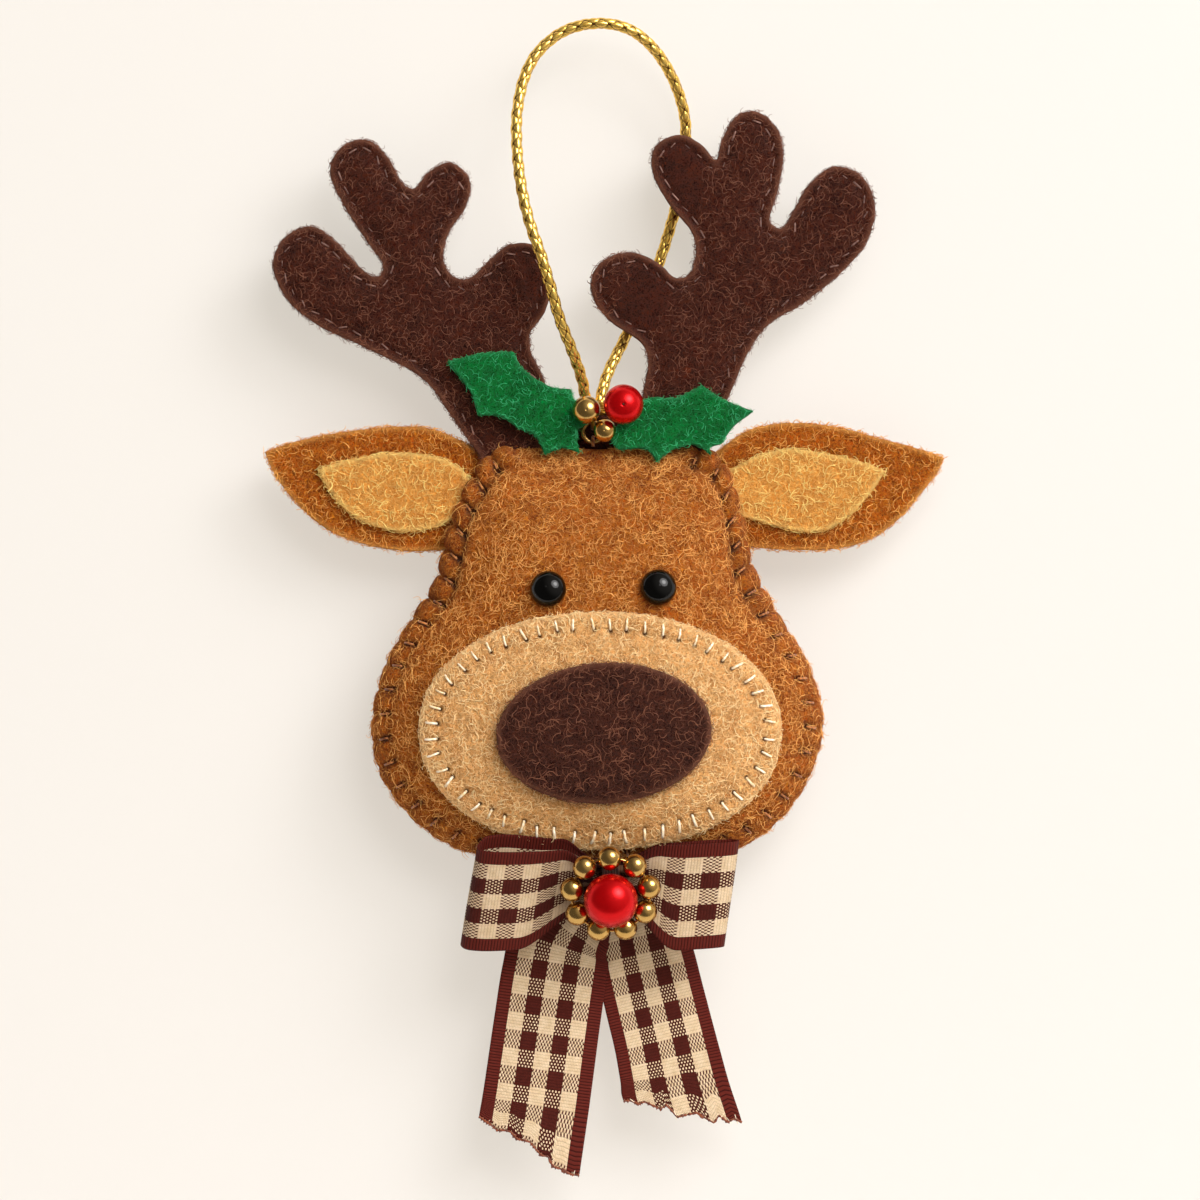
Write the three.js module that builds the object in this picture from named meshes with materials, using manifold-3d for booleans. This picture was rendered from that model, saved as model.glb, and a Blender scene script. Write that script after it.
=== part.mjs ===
// A stuffed felt deer-head ornament with holly, a gingham bow and a gold hanging cord.
// Millimetres. +X is to the right of someone looking at the face, +Z is up, and the face looks along -Y.
// The origin is the underside of the cord loop's crown, where a hook or a twig carries it.

import * as THREE from 'three';
import { mergeVertices } from 'three/addons/utils/BufferGeometryUtils.js';
import Module from 'manifold-3d';

const wasm = await Module();
wasm.setup();

// Felt, thread and the clearances between pieces
const felt = 1.2;
const antlerFelt = 1.5;
const feltBevel = 0.3;
const seatGap = 0.3;
const seamHalfGap = 0.15;
const threadDiameter = 0.5;

// Hanging cord. Its route is a list of points chosen by hand, from one bound end to the other.
const cordDiameter = 1.8;
const cordSides = 8;
const cordSteps = 64;
const cordRoute = [
  [-2.15, 0, -57.7], [-2.15, 0, -55.9], [-2.7, -1.1, -52.6], [-4.2, -3.5, -48.2], [-6.0, -5.6, -43.6],
  [-7.5, -6.7, -38.4], [-8.9, -7.1, -33.8], [-10.5, -6.8, -29.2], [-11.7, -5.9, -24.2],
  [-12.4, -4.6, -18.4], [-12.4, -3.1, -12.4], [-11.2, -1.7, -6.9], [-9.0, -0.7, -3.1],
  [-5.0, -0.1, -0.1], [0, 0, 0.9], [4.4, 0.6, 0.0], [8.1, 2.2, -2.9], [11.2, 4.4, -7.9],
  [12.8, 5.9, -13.6], [12.6, 6.4, -19.6], [11.6, 6.2, -25.6], [10.2, 5.9, -30.8], [8.6, 5.4, -35.6],
  [6.4, 4.7, -40.6], [3.6, 3.4, -46.6], [1.1, 1.5, -51.8], [0.05, 0, -55.9], [0.05, 0, -57.7],
];

// Whipping that binds the two cord ends, and the gold thread that links it to the jump ring
const bindingHeight = 2.2;
const bindingWall = 0.5;
const linkThread = 0.7;
const linkHalfWidth = 1.15;
const ringMeanRadius = 1.55;
const ringWire = 0.75;
const linkSlack = 0.2;
const tieHalfWidth = 0.85;

// Head: width and height of the sewn outline, and how far each side swells from the seam
const headWidth = 67.35;
const headHeight = 62.1;
const headCentreX = -0.4;
const headFrontSwell = 11.2;
const headBackSwell = 8.6;
const seamAllowance = 2;
const crownDrop = 0.55;
const headOutlineShare = [
  [0.318, 1.000], [0.283, 0.995], [0.252, 0.973], [0.225, 0.928], [0.194, 0.867], [0.171, 0.792],
  [0.140, 0.669], [0.107, 0.616], [0.069, 0.556], [0.031, 0.478], [0.007, 0.391], [0.000, 0.319],
  [0.013, 0.232], [0.047, 0.162], [0.105, 0.092], [0.183, 0.039], [0.283, 0.010], [0.416, 0.000],
  [0.550, 0.000], [0.684, 0.005], [0.784, 0.024], [0.869, 0.072], [0.933, 0.140], [0.978, 0.227],
  [1.000, 0.326], [0.989, 0.415], [0.955, 0.507], [0.911, 0.580], [0.871, 0.652], [0.840, 0.722],
  [0.824, 0.807], [0.808, 0.882], [0.786, 0.952], [0.755, 0.986], [0.717, 0.997], [0.617, 1.000],
  [0.506, 0.998], [0.416, 1.000],
];
const headPoleShare = [0.503, 0.43];
const swellRoundShare = 2.6;
const swellEdgeShare = 0.6;
const swellTopShare = 0.5;
const swellChinShare = 0.8;
const headAngles = 52;
const headRings = 8;
const headInnerRings = 4;

// Muzzle and nose patches, laid on the swell of the head
const muzzleWidth = 54;
const muzzleHeight = 35.4;
const muzzleMiddleShare = 0.506;
const muzzleChinGap = 2.11;
const muzzleSquareShare = 2.1;
const noseWidth = 32.1;
const noseHeight = 21;
const nosePlaceShare = [0.0112, -0.0088];
const noseTilt = 3.8;
const patchGap = 0.45;
const patchAngles = 44;
const muzzleRings = 4;
const noseRings = 3;

// Eyes: half-round beads, a gap over the muzzle's top edge
const eyeDiameter = 5.4;
const eyeRise = 2.5;
const eyeRim = 0.35;
const eyeSeat = 0.45;
const eyePiece = {
  left: { middleShare: 0.392, muzzleGap: 3.41 },
  right: { middleShare: 0.634, muzzleGap: 3.66 },
};

// Ears: an outer layer with a smaller inner layer on its front, both sewn into the seam.
// An ear's place is how far its top edge stands over the head's top,
// and the share of the head's width to its root.
const earPiece = {
  left: { width: 34.8, height: 18.6, topGap: 3.28, rootShare: -0.2235 },
  right: { width: 35.97, height: 19.05, topGap: 3.88, rootShare: 0.2376 },
};
const earInnerPiece = {
  left: { width: 23.85, height: 11.85, topGap: 3.9, rootGap: 2.55 },
  right: { width: 25.61, height: 12.33, topGap: 4.03, rootGap: 1.65 },
};
const earShare = {
  left: [
    [[0.000, 0.798], [0.119, 0.875], [0.341, 0.960], [0.546, 1.000], [0.698, 0.992], [0.819, 0.911],
      [1.000, 0.734]],
    [[1.000, 0.734], [0.935, 0.411], [0.875, 0.024]],
    [[0.875, 0.024], [0.711, 0.000], [0.595, 0.000], [0.422, 0.056], [0.272, 0.169], [0.138, 0.379],
      [0.037, 0.629], [0.000, 0.798]],
  ],
  right: [
    [[1.000, 0.724], [0.882, 0.803], [0.742, 0.874], [0.571, 0.961], [0.398, 1.000], [0.294, 0.992],
      [0.171, 0.929], [0.000, 0.693]],
    [[0.000, 0.693], [0.050, 0.394], [0.100, 0.039]],
    [[0.100, 0.039], [0.329, 0.000], [0.467, 0.000], [0.605, 0.025], [0.709, 0.098], [0.813, 0.244],
      [0.903, 0.437], [0.972, 0.606], [1.000, 0.724]],
  ],
};
const earInnerShare = {
  left: [
    [[0.000, 0.810], [0.208, 0.937], [0.472, 1.000], [0.711, 0.954], [1.000, 0.759]],
    [[1.000, 0.759], [0.912, 0.190]],
    [[0.912, 0.190], [0.667, 0.043], [0.488, 0.000], [0.321, 0.076], [0.192, 0.266], [0.073, 0.532],
      [0.000, 0.810]],
  ],
  right: [
    [[1.000, 0.742], [0.835, 0.864], [0.495, 1.000], [0.349, 0.985], [0.233, 0.912], [0.000, 0.657]],
    [[0.000, 0.657], [0.076, 0.243]],
    [[0.076, 0.243], [0.349, 0.073], [0.527, 0.000], [0.668, 0.036], [0.835, 0.292], [0.931, 0.535],
      [1.000, 0.742]],
  ],
};

// Antlers: two layers each, sewn together, with their roots in the head's top seam.
// Their places are the depth of the root under the head's top,
// and the share of the head's width to their middle.
const antlerPiece = {
  left: { width: 41.7, height: 50.93, rootDepth: 4.68, middleShare: -0.4128 },
  right: { width: 42.45, height: 54.9, rootDepth: 4.37, middleShare: 0.3033 },
};
const antlerShare = {
  left: [
    [0.723, 0.094], [0.637, 0.194], [0.543, 0.295], [0.319, 0.395], [0.158, 0.457], [0.047, 0.536],
    [0.000, 0.636], [0.043, 0.713], [0.137, 0.747], [0.219, 0.707], [0.335, 0.610], [0.380, 0.598],
    [0.396, 0.630], [0.342, 0.698], [0.252, 0.813], [0.205, 0.913], [0.248, 0.981], [0.342, 1.000],
    [0.414, 0.948], [0.460, 0.881], [0.504, 0.857], [0.565, 0.910], [0.640, 0.935], [0.709, 0.878],
    [0.691, 0.801], [0.633, 0.730], [0.612, 0.654], [0.644, 0.601], [0.701, 0.592], [0.770, 0.639],
    [0.849, 0.692], [0.942, 0.689], [1.000, 0.604], [0.978, 0.495], [0.924, 0.430], [0.928, 0.377],
    [0.978, 0.280], [0.924, 0.029], [0.817, 0.000],
  ],
  right: [
    [0.170, 0.077], [0.177, 0.213], [0.198, 0.322], [0.177, 0.366], [0.067, 0.426], [0.007, 0.486],
    [0.000, 0.552], [0.049, 0.598], [0.141, 0.615], [0.233, 0.587], [0.297, 0.546], [0.346, 0.557],
    [0.367, 0.634], [0.346, 0.678], [0.269, 0.751], [0.212, 0.842], [0.223, 0.904], [0.304, 0.937],
    [0.382, 0.913], [0.438, 0.869], [0.459, 0.923], [0.509, 0.986], [0.580, 1.000], [0.650, 0.956],
    [0.675, 0.883], [0.657, 0.787], [0.629, 0.699], [0.668, 0.680], [0.714, 0.732], [0.767, 0.801],
    [0.855, 0.850], [0.951, 0.825], [1.000, 0.743], [0.968, 0.642], [0.883, 0.563], [0.753, 0.481],
    [0.622, 0.418], [0.558, 0.352], [0.516, 0.268], [0.481, 0.158], [0.459, 0.036], [0.346, 0.000],
    [0.205, 0.011],
  ],
};

// Holly leaves, sewn over the antler roots. Each run goes from one spine to the next.
const leafTilt = 9;
const leafForwardGap = 4.35;
const leafPiece = {
  left: { width: 21.38, height: 15.6, middleGap: 0.45, overlapDepth: 1.05 },
  right: { width: 20.4, height: 11.55, middleGap: 3.6, overlapDepth: 2.1 },
};
const leafShare = {
  left: [
    [[0.000, 0.904], [0.228, 0.981], [0.467, 1.000]],
    [[0.467, 1.000], [0.509, 0.865], [0.635, 0.721]],
    [[0.635, 0.721], [0.733, 0.654], [0.867, 0.635]],
    [[0.867, 0.635], [0.895, 0.519], [1.000, 0.442]],
    [[1.000, 0.442], [0.993, 0.327], [0.916, 0.250]],
    [[0.916, 0.250], [0.909, 0.135], [0.930, 0.019]],
    [[0.930, 0.019], [0.804, 0.067], [0.684, 0.000]],
    [[0.684, 0.000], [0.614, 0.183], [0.495, 0.260]],
    [[0.495, 0.260], [0.368, 0.375], [0.214, 0.385]],
    [[0.214, 0.385], [0.179, 0.567], [0.000, 0.904]],
  ],
  right: [
    [[0.000, 0.403], [0.069, 0.558], [0.097, 0.740]],
    [[0.097, 0.740], [0.180, 0.792], [0.252, 0.844]],
    [[0.252, 0.844], [0.415, 0.831], [0.629, 1.000]],
    [[0.629, 1.000], [0.761, 0.831], [1.000, 0.662]],
    [[1.000, 0.662], [0.851, 0.455], [0.768, 0.234]],
    [[0.768, 0.234], [0.685, 0.182], [0.689, 0.091]],
    [[0.689, 0.091], [0.567, 0.221], [0.394, 0.143], [0.290, 0.000]],
    [[0.290, 0.000], [0.221, 0.156], [0.048, 0.156]],
    [[0.048, 0.156], [0.000, 0.247], [0.000, 0.403]],
  ],
};

// Berries: beads sewn over the leaves' inner ends. Places are measured from the jump ring's centre.
const beadBore = 0.5;
const berryPiece = {
  berry_red: { diameter: 6, acrossGap: 4.55, upGap: 4.1, forwardGap: 7.9, colour: 'red' },
  berry_gold_upper: { diameter: 4.2, acrossGap: -0.99, upGap: 3.3, forwardGap: 7.1, colour: 'gold' },
  berry_gold_lower: { diameter: 3.4, acrossGap: 1.75, upGap: 0.2, forwardGap: 6.3, colour: 'gold' },
};

// Bow: ribbon loops and tails, tied at a knot under the chin
const ribbonWidth = 15.9;
const ribbonThickness = 0.35;
const knotDrop = 2.5;
const knotAcross = 2;
const knotForward = 7.4;
const knotHeight = 6;
const knotTilt = 14;
const wrapWidth = 3;
const wrapWall = 0.5;
const wrapDepth = 3.3;
const loopPiece = {
  left: { length: 20.8, depth: 5.2, rise: 6.1, tilt: 22, leanShare: 0.14, climbShare: -0.01 },
  right: { length: 18.2, depth: 4.6, rise: 5.0, tilt: 6, leanShare: 0.12, climbShare: 0.06 },
};
const loopPathShare = [
  [0.015, -0.13], [0.10, -0.19], [0.20, -0.34], [0.34, -0.46], [0.52, -0.60], [0.72, -0.68],
  [0.88, -0.66], [0.97, -0.52], [1.00, -0.20], [0.97, 0.10], [0.88, 0.27], [0.70, 0.31], [0.50, 0.29],
  [0.30, 0.24], [0.10, 0.17], [0.015, 0.13],
];
const gatherShare = { start: 0.1, top: 0.4, low: 0.62 };
const loopSteps = 30;
const tailPiece = {
  left: { drop: 38.3, behind: 3.2, slantShare: 0.43 },
  right: { drop: 33, behind: 4.15, slantShare: 0.55 },
};
// Each tail point: shares of the drop across and down, share of the ribbon's width, and backward share
const tailShare = {
  left: [
    [-0.055, 0.000, 0.46, 0.000], [-0.085, 0.050, 0.58, 0.030], [-0.142, 0.123, 0.80, 0.070],
    [-0.196, 0.210, 0.96, 0.100], [-0.221, 0.330, 0.99, 0.112], [-0.251, 0.530, 1.00, 0.112],
    [-0.288, 0.795, 1.01, 0.105], [-0.319, 1.000, 1.02, 0.100],
  ],
  right: [
    [0.060, 0.000, 0.46, 0.000], [0.083, 0.060, 0.60, 0.035], [0.112, 0.133, 0.80, 0.080],
    [0.150, 0.296, 0.93, 0.120], [0.198, 0.493, 0.95, 0.130], [0.245, 0.680, 0.96, 0.130],
    [0.292, 0.885, 1.00, 0.125], [0.325, 1.000, 1.02, 0.120],
  ],
};
const tailSteps = 14;
const tailTopDrop = 1.6;
const bowStitch = 0.8;

// Pearl with a wired ring of gold beads, on the bow's knot
const clusterTilt = 22;
const clusterForward = 5.6;
const pearlDiameter = 8.1;
const pearlForward = 2.4;
const ringBeadDiameter = 3.6;
const ringBeadCount = 9;
const ringBeadRadius = 5.85;
const ringBeadTurn = 12;
const beadWireDiameter = 0.4;
const beadWireSlack = 0.8;

// Places worked out from the sizes above
const cordEndX = (cordRoute[0][0] + cordRoute.at(-1)[0]) / 2;
const cordEndZ = cordRoute[0][2];
const bindingTop = cordEndZ - seatGap + bindingHeight;
const bindingBottom = bindingTop - bindingHeight;
const ringTopZ = bindingBottom - seatGap - ringWire / 2 - linkSlack;
const ringCentreZ = ringTopZ - ringMeanRadius;
const ringBottomZ = ringCentreZ - ringMeanRadius;
const headTop = ringBottomZ - ringWire / 2 - crownDrop;
const headBottom = headTop - headHeight;
const headLeft = headCentreX - headWidth / 2;
const knot = new THREE.Vector3(knotAcross + headCentreX, -knotForward, headBottom - knotDrop);

// Geometry helpers
const lerp = THREE.MathUtils.lerp;
const rad = THREE.MathUtils.degToRad;

function placed(share, left, bottom, width, height) {
  return new THREE.Vector2(left + share[0] * width, bottom + share[1] * height);
}

function smoothRun(points, closed, perSpan) {
  const places = points.map((p) => new THREE.Vector3(p.x, p.y, 0));
  const curve = new THREE.CatmullRomCurve3(places, closed, 'centripetal');
  const spans = closed ? points.length : points.length - 1;
  const out = curve.getPoints(spans * perSpan).map((p) => new THREE.Vector2(p.x, p.y));
  out.pop();
  return out;
}

function closedOutline(share, box, perSpan) {
  const points = share.map((s) => placed(s, box.left, box.bottom, box.width, box.height));
  return smoothRun(points, true, perSpan);
}

function corneredOutline(runs, box, perSpan) {
  const out = [];
  for (const run of runs) {
    const points = run.map((s) => placed(s, box.left, box.bottom, box.width, box.height));
    out.push(...smoothRun(points, false, perSpan));
  }
  return out;
}

function grown(outline, distance) {
  const turn = Math.sign(THREE.ShapeUtils.area(outline));
  return outline.map((p, i) => {
    const before = outline[(i + outline.length - 1) % outline.length];
    const after = outline[(i + 1) % outline.length];
    const along = after.clone().sub(before).normalize();
    return new THREE.Vector2(p.x + along.y * distance * turn, p.y - along.x * distance * turn);
  });
}

function signedVolume(geometry) {
  const position = geometry.attributes.position;
  const index = geometry.index.array;
  const a = new THREE.Vector3();
  const b = new THREE.Vector3();
  const c = new THREE.Vector3();
  let sum = 0;
  for (let i = 0; i < index.length; i += 3) {
    a.fromBufferAttribute(position, index[i]);
    b.fromBufferAttribute(position, index[i + 1]);
    c.fromBufferAttribute(position, index[i + 2]);
    sum += a.dot(b.cross(c));
  }
  return sum;
}

function welded(geometry) {
  geometry.deleteAttribute('normal');
  geometry.deleteAttribute('uv');
  const merged = mergeVertices(geometry);
  if (signedVolume(merged) < 0) {
    const index = merged.index.array;
    for (let i = 0; i < index.length; i += 3) {
      [index[i + 1], index[i + 2]] = [index[i + 2], index[i + 1]];
    }
  }
  return merged;
}

function indexed(positions, triangles) {
  const geometry = new THREE.BufferGeometry();
  geometry.setAttribute('position', new THREE.Float32BufferAttribute(positions, 3));
  geometry.setIndex(triangles);
  return welded(geometry);
}

// A flat layer in the X-Z plane: its back face at y = back, its front face nearer the viewer
function layer(outline, back, thickness, bevel = 0) {
  const geometry = new THREE.ExtrudeGeometry(new THREE.Shape(outline), {
    depth: thickness - 2 * bevel,
    bevelEnabled: bevel > 0,
    bevelThickness: bevel,
    bevelSize: bevel,
    bevelOffset: -bevel,
    bevelSegments: 1,
  });
  geometry.translate(0, 0, bevel);
  geometry.rotateX(Math.PI / 2);
  geometry.translate(0, back, 0);
  return welded(geometry);
}

// A closed skin from one pole, through rings of points, to the other pole
function poleToPole(startPole, rings, endPole) {
  const count = rings[0].length;
  const positions = [startPole, ...rings.flat(), endPole].flatMap((p) => [p.x, p.y, p.z]);
  const at = (ring, i) => 1 + ring * count + (i % count);
  const last = 1 + rings.length * count;
  const triangles = [];
  for (let i = 0; i < count; i += 1) {
    triangles.push(0, at(0, i), at(0, i + 1));
    triangles.push(last, at(rings.length - 1, i + 1), at(rings.length - 1, i));
    for (let r = 0; r + 1 < rings.length; r += 1) {
      triangles.push(at(r, i), at(r + 1, i), at(r + 1, i + 1));
      triangles.push(at(r, i), at(r + 1, i + 1), at(r, i + 1));
    }
  }
  return indexed(positions, triangles);
}

// A strip through sections of four corners each, with flat ends
function strip(sections) {
  const positions = sections.flat().flatMap((p) => [p.x, p.y, p.z]);
  const triangles = [];
  for (let s = 0; s + 1 < sections.length; s += 1) {
    for (let k = 0; k < 4; k += 1) {
      const a = s * 4 + k;
      const b = s * 4 + ((k + 1) % 4);
      triangles.push(a, b, b + 4, a, b + 4, a + 4);
    }
  }
  const end = (sections.length - 1) * 4;
  triangles.push(0, 2, 1, 0, 3, 2, end, end + 1, end + 2, end, end + 2, end + 3);
  return indexed(positions, triangles);
}

function tube(points, diameter, steps, sides = 8) {
  const section = new THREE.Shape();
  for (let i = 0; i < sides; i += 1) {
    const angle = (i / sides) * 2 * Math.PI;
    const x = (Math.cos(angle) * diameter) / 2;
    const y = (Math.sin(angle) * diameter) / 2;
    if (i === 0) section.moveTo(x, y);
    else section.lineTo(x, y);
  }
  const curve = new THREE.CatmullRomCurve3(points, false, 'centripetal');
  return welded(new THREE.ExtrudeGeometry(section, { steps, extrudePath: curve }));
}

// A round bead with a bore along its local Y axis
function boredBead(diameter, bore, arcSteps, sides) {
  const radius = diameter / 2;
  const start = Math.asin(bore / 2 / radius);
  const profile = [];
  for (let i = 0; i <= arcSteps; i += 1) {
    const angle = lerp(start, Math.PI - start, i / arcSteps);
    profile.push(new THREE.Vector2(radius * Math.sin(angle), -radius * Math.cos(angle)));
  }
  profile.push(profile[0].clone());
  return welded(new THREE.LatheGeometry(profile, sides));
}

function solidOf(geometry) {
  return new wasm.Manifold(new wasm.Mesh({
    numProp: 3,
    vertProperties: new Float32Array(geometry.attributes.position.array),
    triVerts: new Uint32Array(geometry.index.array),
  }));
}

function geometryOf(solid) {
  const mesh = solid.getMesh();
  const geometry = new THREE.BufferGeometry();
  geometry.setAttribute('position', new THREE.Float32BufferAttribute(Array.from(mesh.vertProperties), 3));
  geometry.setIndex(Array.from(mesh.triVerts));
  return geometry;
}

function cut(geometry, cutters) {
  let solid = solidOf(geometry);
  for (const cutter of cutters) {
    solid = solid.subtract(solidOf(cutter));
  }
  const bodies = solid.decompose();
  bodies.sort((a, b) => b.volume() - a.volume());
  return geometryOf(bodies[0]);
}

const ornament = new THREE.Group();
const finish = {
  felt: { roughness: 0.95, metalness: 0 },
  ribbon: { roughness: 0.75, metalness: 0 },
  metal: { roughness: 0.25, metalness: 1 },
  pearl: { roughness: 0.25, metalness: 0.1 },
  gloss: { roughness: 0.08, metalness: 0 },
};

function add(name, geometry, colour, look, group = ornament) {
  geometry.computeVertexNormals();
  const mesh = new THREE.Mesh(geometry, new THREE.MeshStandardMaterial({ color: colour, ...look }));
  mesh.name = name;
  group.add(mesh);
  return mesh;
}

const colours = {
  head: 0x99602d,
  stuffing: 0xf2efe6,
  muzzle: 0xd2a066,
  nose: 0x3c2018,
  ear: 0x8e5523,
  earInner: 0xcf9a5b,
  antler: 0x45241c,
  holly: 0x0a7a3c,
  ribbon: 0x8a6a55,
  thread: 0x7a4a1e,
  gold: 0xd9a441,
  cord: 0xd9a22a,
  red: 0xb90f1c,
  black: 0x08080a,
};

// Hanging cord, the binding round its two ends, and the link thread through the jump ring
const cordPoints = cordRoute.map(([x, y, z]) => new THREE.Vector3(x, y, z));
add('hanging_cord', tube(cordPoints, cordDiameter, cordSteps, cordSides), colours.cord, finish.metal);

function stadium(halfLength, radius, arcSteps) {
  const points = [];
  for (const side of [1, -1]) {
    for (let i = 0; i <= arcSteps; i += 1) {
      const angle = (side > 0 ? -Math.PI / 2 : Math.PI / 2) + (i / arcSteps) * Math.PI;
      points.push(new THREE.Vector2(side * halfLength + radius * Math.cos(angle), radius * Math.sin(angle)));
    }
  }
  return points;
}

const legHalfSpan = (cordRoute.at(-1)[0] - cordRoute[0][0]) / 2;
const bindingBoreRadius = cordDiameter / 2 + seatGap;
const stadiumSteps = 7;
const bindingShape = new THREE.Shape(stadium(legHalfSpan, bindingBoreRadius + bindingWall, stadiumSteps));
bindingShape.holes.push(new THREE.Path(stadium(legHalfSpan, bindingBoreRadius, stadiumSteps)));
const binding = new THREE.ExtrudeGeometry(bindingShape, { depth: bindingHeight, bevelEnabled: false });
binding.translate(cordEndX, 0, bindingBottom);
add('cord_binding', welded(binding), colours.cord, finish.metal);

const linkLow = ringTopZ - ringWire / 2 - linkSlack - linkThread / 2;
const linkTop = bindingBottom - seatGap / 2;
const linkPoints = [
  new THREE.Vector3(cordEndX, -linkHalfWidth, linkTop),
  new THREE.Vector3(cordEndX, -linkHalfWidth, ringTopZ),
  new THREE.Vector3(cordEndX, -linkHalfWidth * Math.SQRT1_2, lerp(ringTopZ, linkLow, Math.SQRT1_2)),
  new THREE.Vector3(cordEndX, 0, linkLow),
  new THREE.Vector3(cordEndX, linkHalfWidth * Math.SQRT1_2, lerp(ringTopZ, linkLow, Math.SQRT1_2)),
  new THREE.Vector3(cordEndX, linkHalfWidth, ringTopZ),
  new THREE.Vector3(cordEndX, linkHalfWidth, linkTop),
];
const threadSteps = 14;
const threadSides = 6;
add('link_thread', tube(linkPoints, linkThread, threadSteps, threadSides), colours.cord, finish.metal);

const ringSides = 6;
const ringSegments = 24;
const jumpRing = new THREE.TorusGeometry(ringMeanRadius, ringWire / 2, ringSides, ringSegments);
jumpRing.rotateX(Math.PI / 2);
const ringMesh = add('jump_ring', welded(jumpRing), colours.gold, finish.metal);
ringMesh.position.set(cordEndX, 0, ringCentreZ);

const tieHigh = ringBottomZ + ringWire / 2 + linkSlack + threadDiameter / 2;
const tieFoot = headTop + seatGap;
const tiePoints = [
  new THREE.Vector3(cordEndX, -tieHalfWidth, tieFoot),
  new THREE.Vector3(cordEndX, -tieHalfWidth, ringBottomZ),
  new THREE.Vector3(cordEndX, -tieHalfWidth * Math.SQRT1_2, lerp(ringBottomZ, tieHigh, Math.SQRT1_2)),
  new THREE.Vector3(cordEndX, 0, tieHigh),
  new THREE.Vector3(cordEndX, tieHalfWidth * Math.SQRT1_2, lerp(ringBottomZ, tieHigh, Math.SQRT1_2)),
  new THREE.Vector3(cordEndX, tieHalfWidth, ringBottomZ),
  new THREE.Vector3(cordEndX, tieHalfWidth, tieFoot),
];
const tie = tube(tiePoints, threadDiameter, threadSteps, threadSides);
add('ring_tie_thread', tie, colours.thread, finish.felt);

// Ears and antlers: outlines first, because the head and the ears make room for them
const antlerOutline = {};
const earOutline = {};
const earInnerOutline = {};
const antlerSpan = 2;
const earSpan = 2;
for (const side of ['left', 'right']) {
  const antler = antlerPiece[side];
  const middle = headCentreX + antler.middleShare * headWidth;
  antlerOutline[side] = closedOutline(antlerShare[side], {
    left: middle - antler.width / 2,
    bottom: headTop - antler.rootDepth,
    width: antler.width,
    height: antler.height,
  }, antlerSpan);
  const ear = earPiece[side];
  const outward = Math.sign(ear.rootShare);
  const rootX = headCentreX + ear.rootShare * headWidth;
  const box = {
    left: outward < 0 ? rootX - ear.width : rootX,
    bottom: headTop + ear.topGap - ear.height,
    width: ear.width,
    height: ear.height,
  };
  earOutline[side] = corneredOutline(earShare[side], box, earSpan);
  const inner = earInnerPiece[side];
  const innerRoot = rootX + outward * inner.rootGap;
  earInnerOutline[side] = corneredOutline(earInnerShare[side], {
    left: outward < 0 ? innerRoot - inner.width : innerRoot,
    bottom: box.bottom + ear.height - inner.topGap - inner.height,
    width: inner.width,
    height: inner.height,
  }, earSpan);
}

const antlerRoom = {};
for (const side of ['left', 'right']) {
  const reach = antlerFelt + seatGap;
  antlerRoom[side] = layer(grown(antlerOutline[side], seatGap), reach, 2 * reach);
  const front = layer(antlerOutline[side], 0, antlerFelt, feltBevel);
  const back = layer(antlerOutline[side], antlerFelt, antlerFelt, feltBevel);
  add(`antler_${side}_front`, front, colours.antler, finish.felt);
  add(`antler_${side}_back`, back, colours.antler, finish.felt);
}

const earRoom = {};
for (const side of ['left', 'right']) {
  const reach = felt + seatGap;
  earRoom[side] = layer(grown(earOutline[side], seatGap), reach, 2 * reach);
  const outer = cut(layer(earOutline[side], felt, felt), [antlerRoom[side]]);
  const inner = cut(layer(earInnerOutline[side], 0, felt), [antlerRoom[side]]);
  add(`ear_${side}_outer`, outer, colours.ear, finish.felt);
  add(`ear_${side}_inner`, inner, colours.earInner, finish.felt);
}

// Head: two swelled panels and the stuffing between them
const headSpan = 3;
const headOutline = closedOutline(headOutlineShare, {
  left: headLeft,
  bottom: headBottom,
  width: headWidth,
  height: headHeight,
}, headSpan);
const pole = placed(headPoleShare, headLeft, headBottom, headWidth, headHeight);

// Distance from the head's pole to its outline, at an angle
function headReach(angle) {
  const direction = new THREE.Vector2(Math.cos(angle), Math.sin(angle));
  let reach = 0;
  for (let i = 0; i < headOutline.length; i += 1) {
    const a = headOutline[i].clone().sub(pole);
    const b = headOutline[(i + 1) % headOutline.length].clone().sub(pole);
    const edge = b.clone().sub(a);
    const spread = direction.cross(edge);
    if (spread === 0) continue;
    const along = a.cross(edge) / spread;
    const share = a.cross(direction) / spread;
    if (along > reach && share >= 0 && share <= 1) reach = along;
  }
  return reach;
}

// How far the skin stands out from the seam at a place, for a swell of a given height
function swell(x, z, inset, height) {
  const dx = x - pole.x;
  const dz = z - pole.y;
  const distance = Math.hypot(dx, dz);
  const reach = headReach(Math.atan2(dz, dx)) - inset;
  const share = Math.min(1, distance / reach);
  const up = THREE.MathUtils.clamp((z - pole.y) / (headTop - pole.y), 0, 1);
  const down = THREE.MathUtils.clamp((pole.y - z) / (pole.y - headBottom), 0, 1);
  const taper = lerp(1, swellTopShare, up * up) * lerp(1, swellChinShare, down * down);
  return height * taper * (1 - share ** swellRoundShare) ** swellEdgeShare;
}

function headRing(share, inset, depth) {
  const ring = [];
  for (let i = 0; i < headAngles; i += 1) {
    const angle = (i / headAngles) * 2 * Math.PI;
    const reach = (headReach(angle) - inset) * share;
    const x = pole.x + reach * Math.cos(angle);
    const z = pole.y + reach * Math.sin(angle);
    ring.push(new THREE.Vector3(x, depth(x, z), z));
  }
  return ring;
}

function ringShares(count) {
  return Array.from({ length: count }, (_, i) => Math.sin(((i + 1) / count) * (Math.PI / 2)));
}

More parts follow.
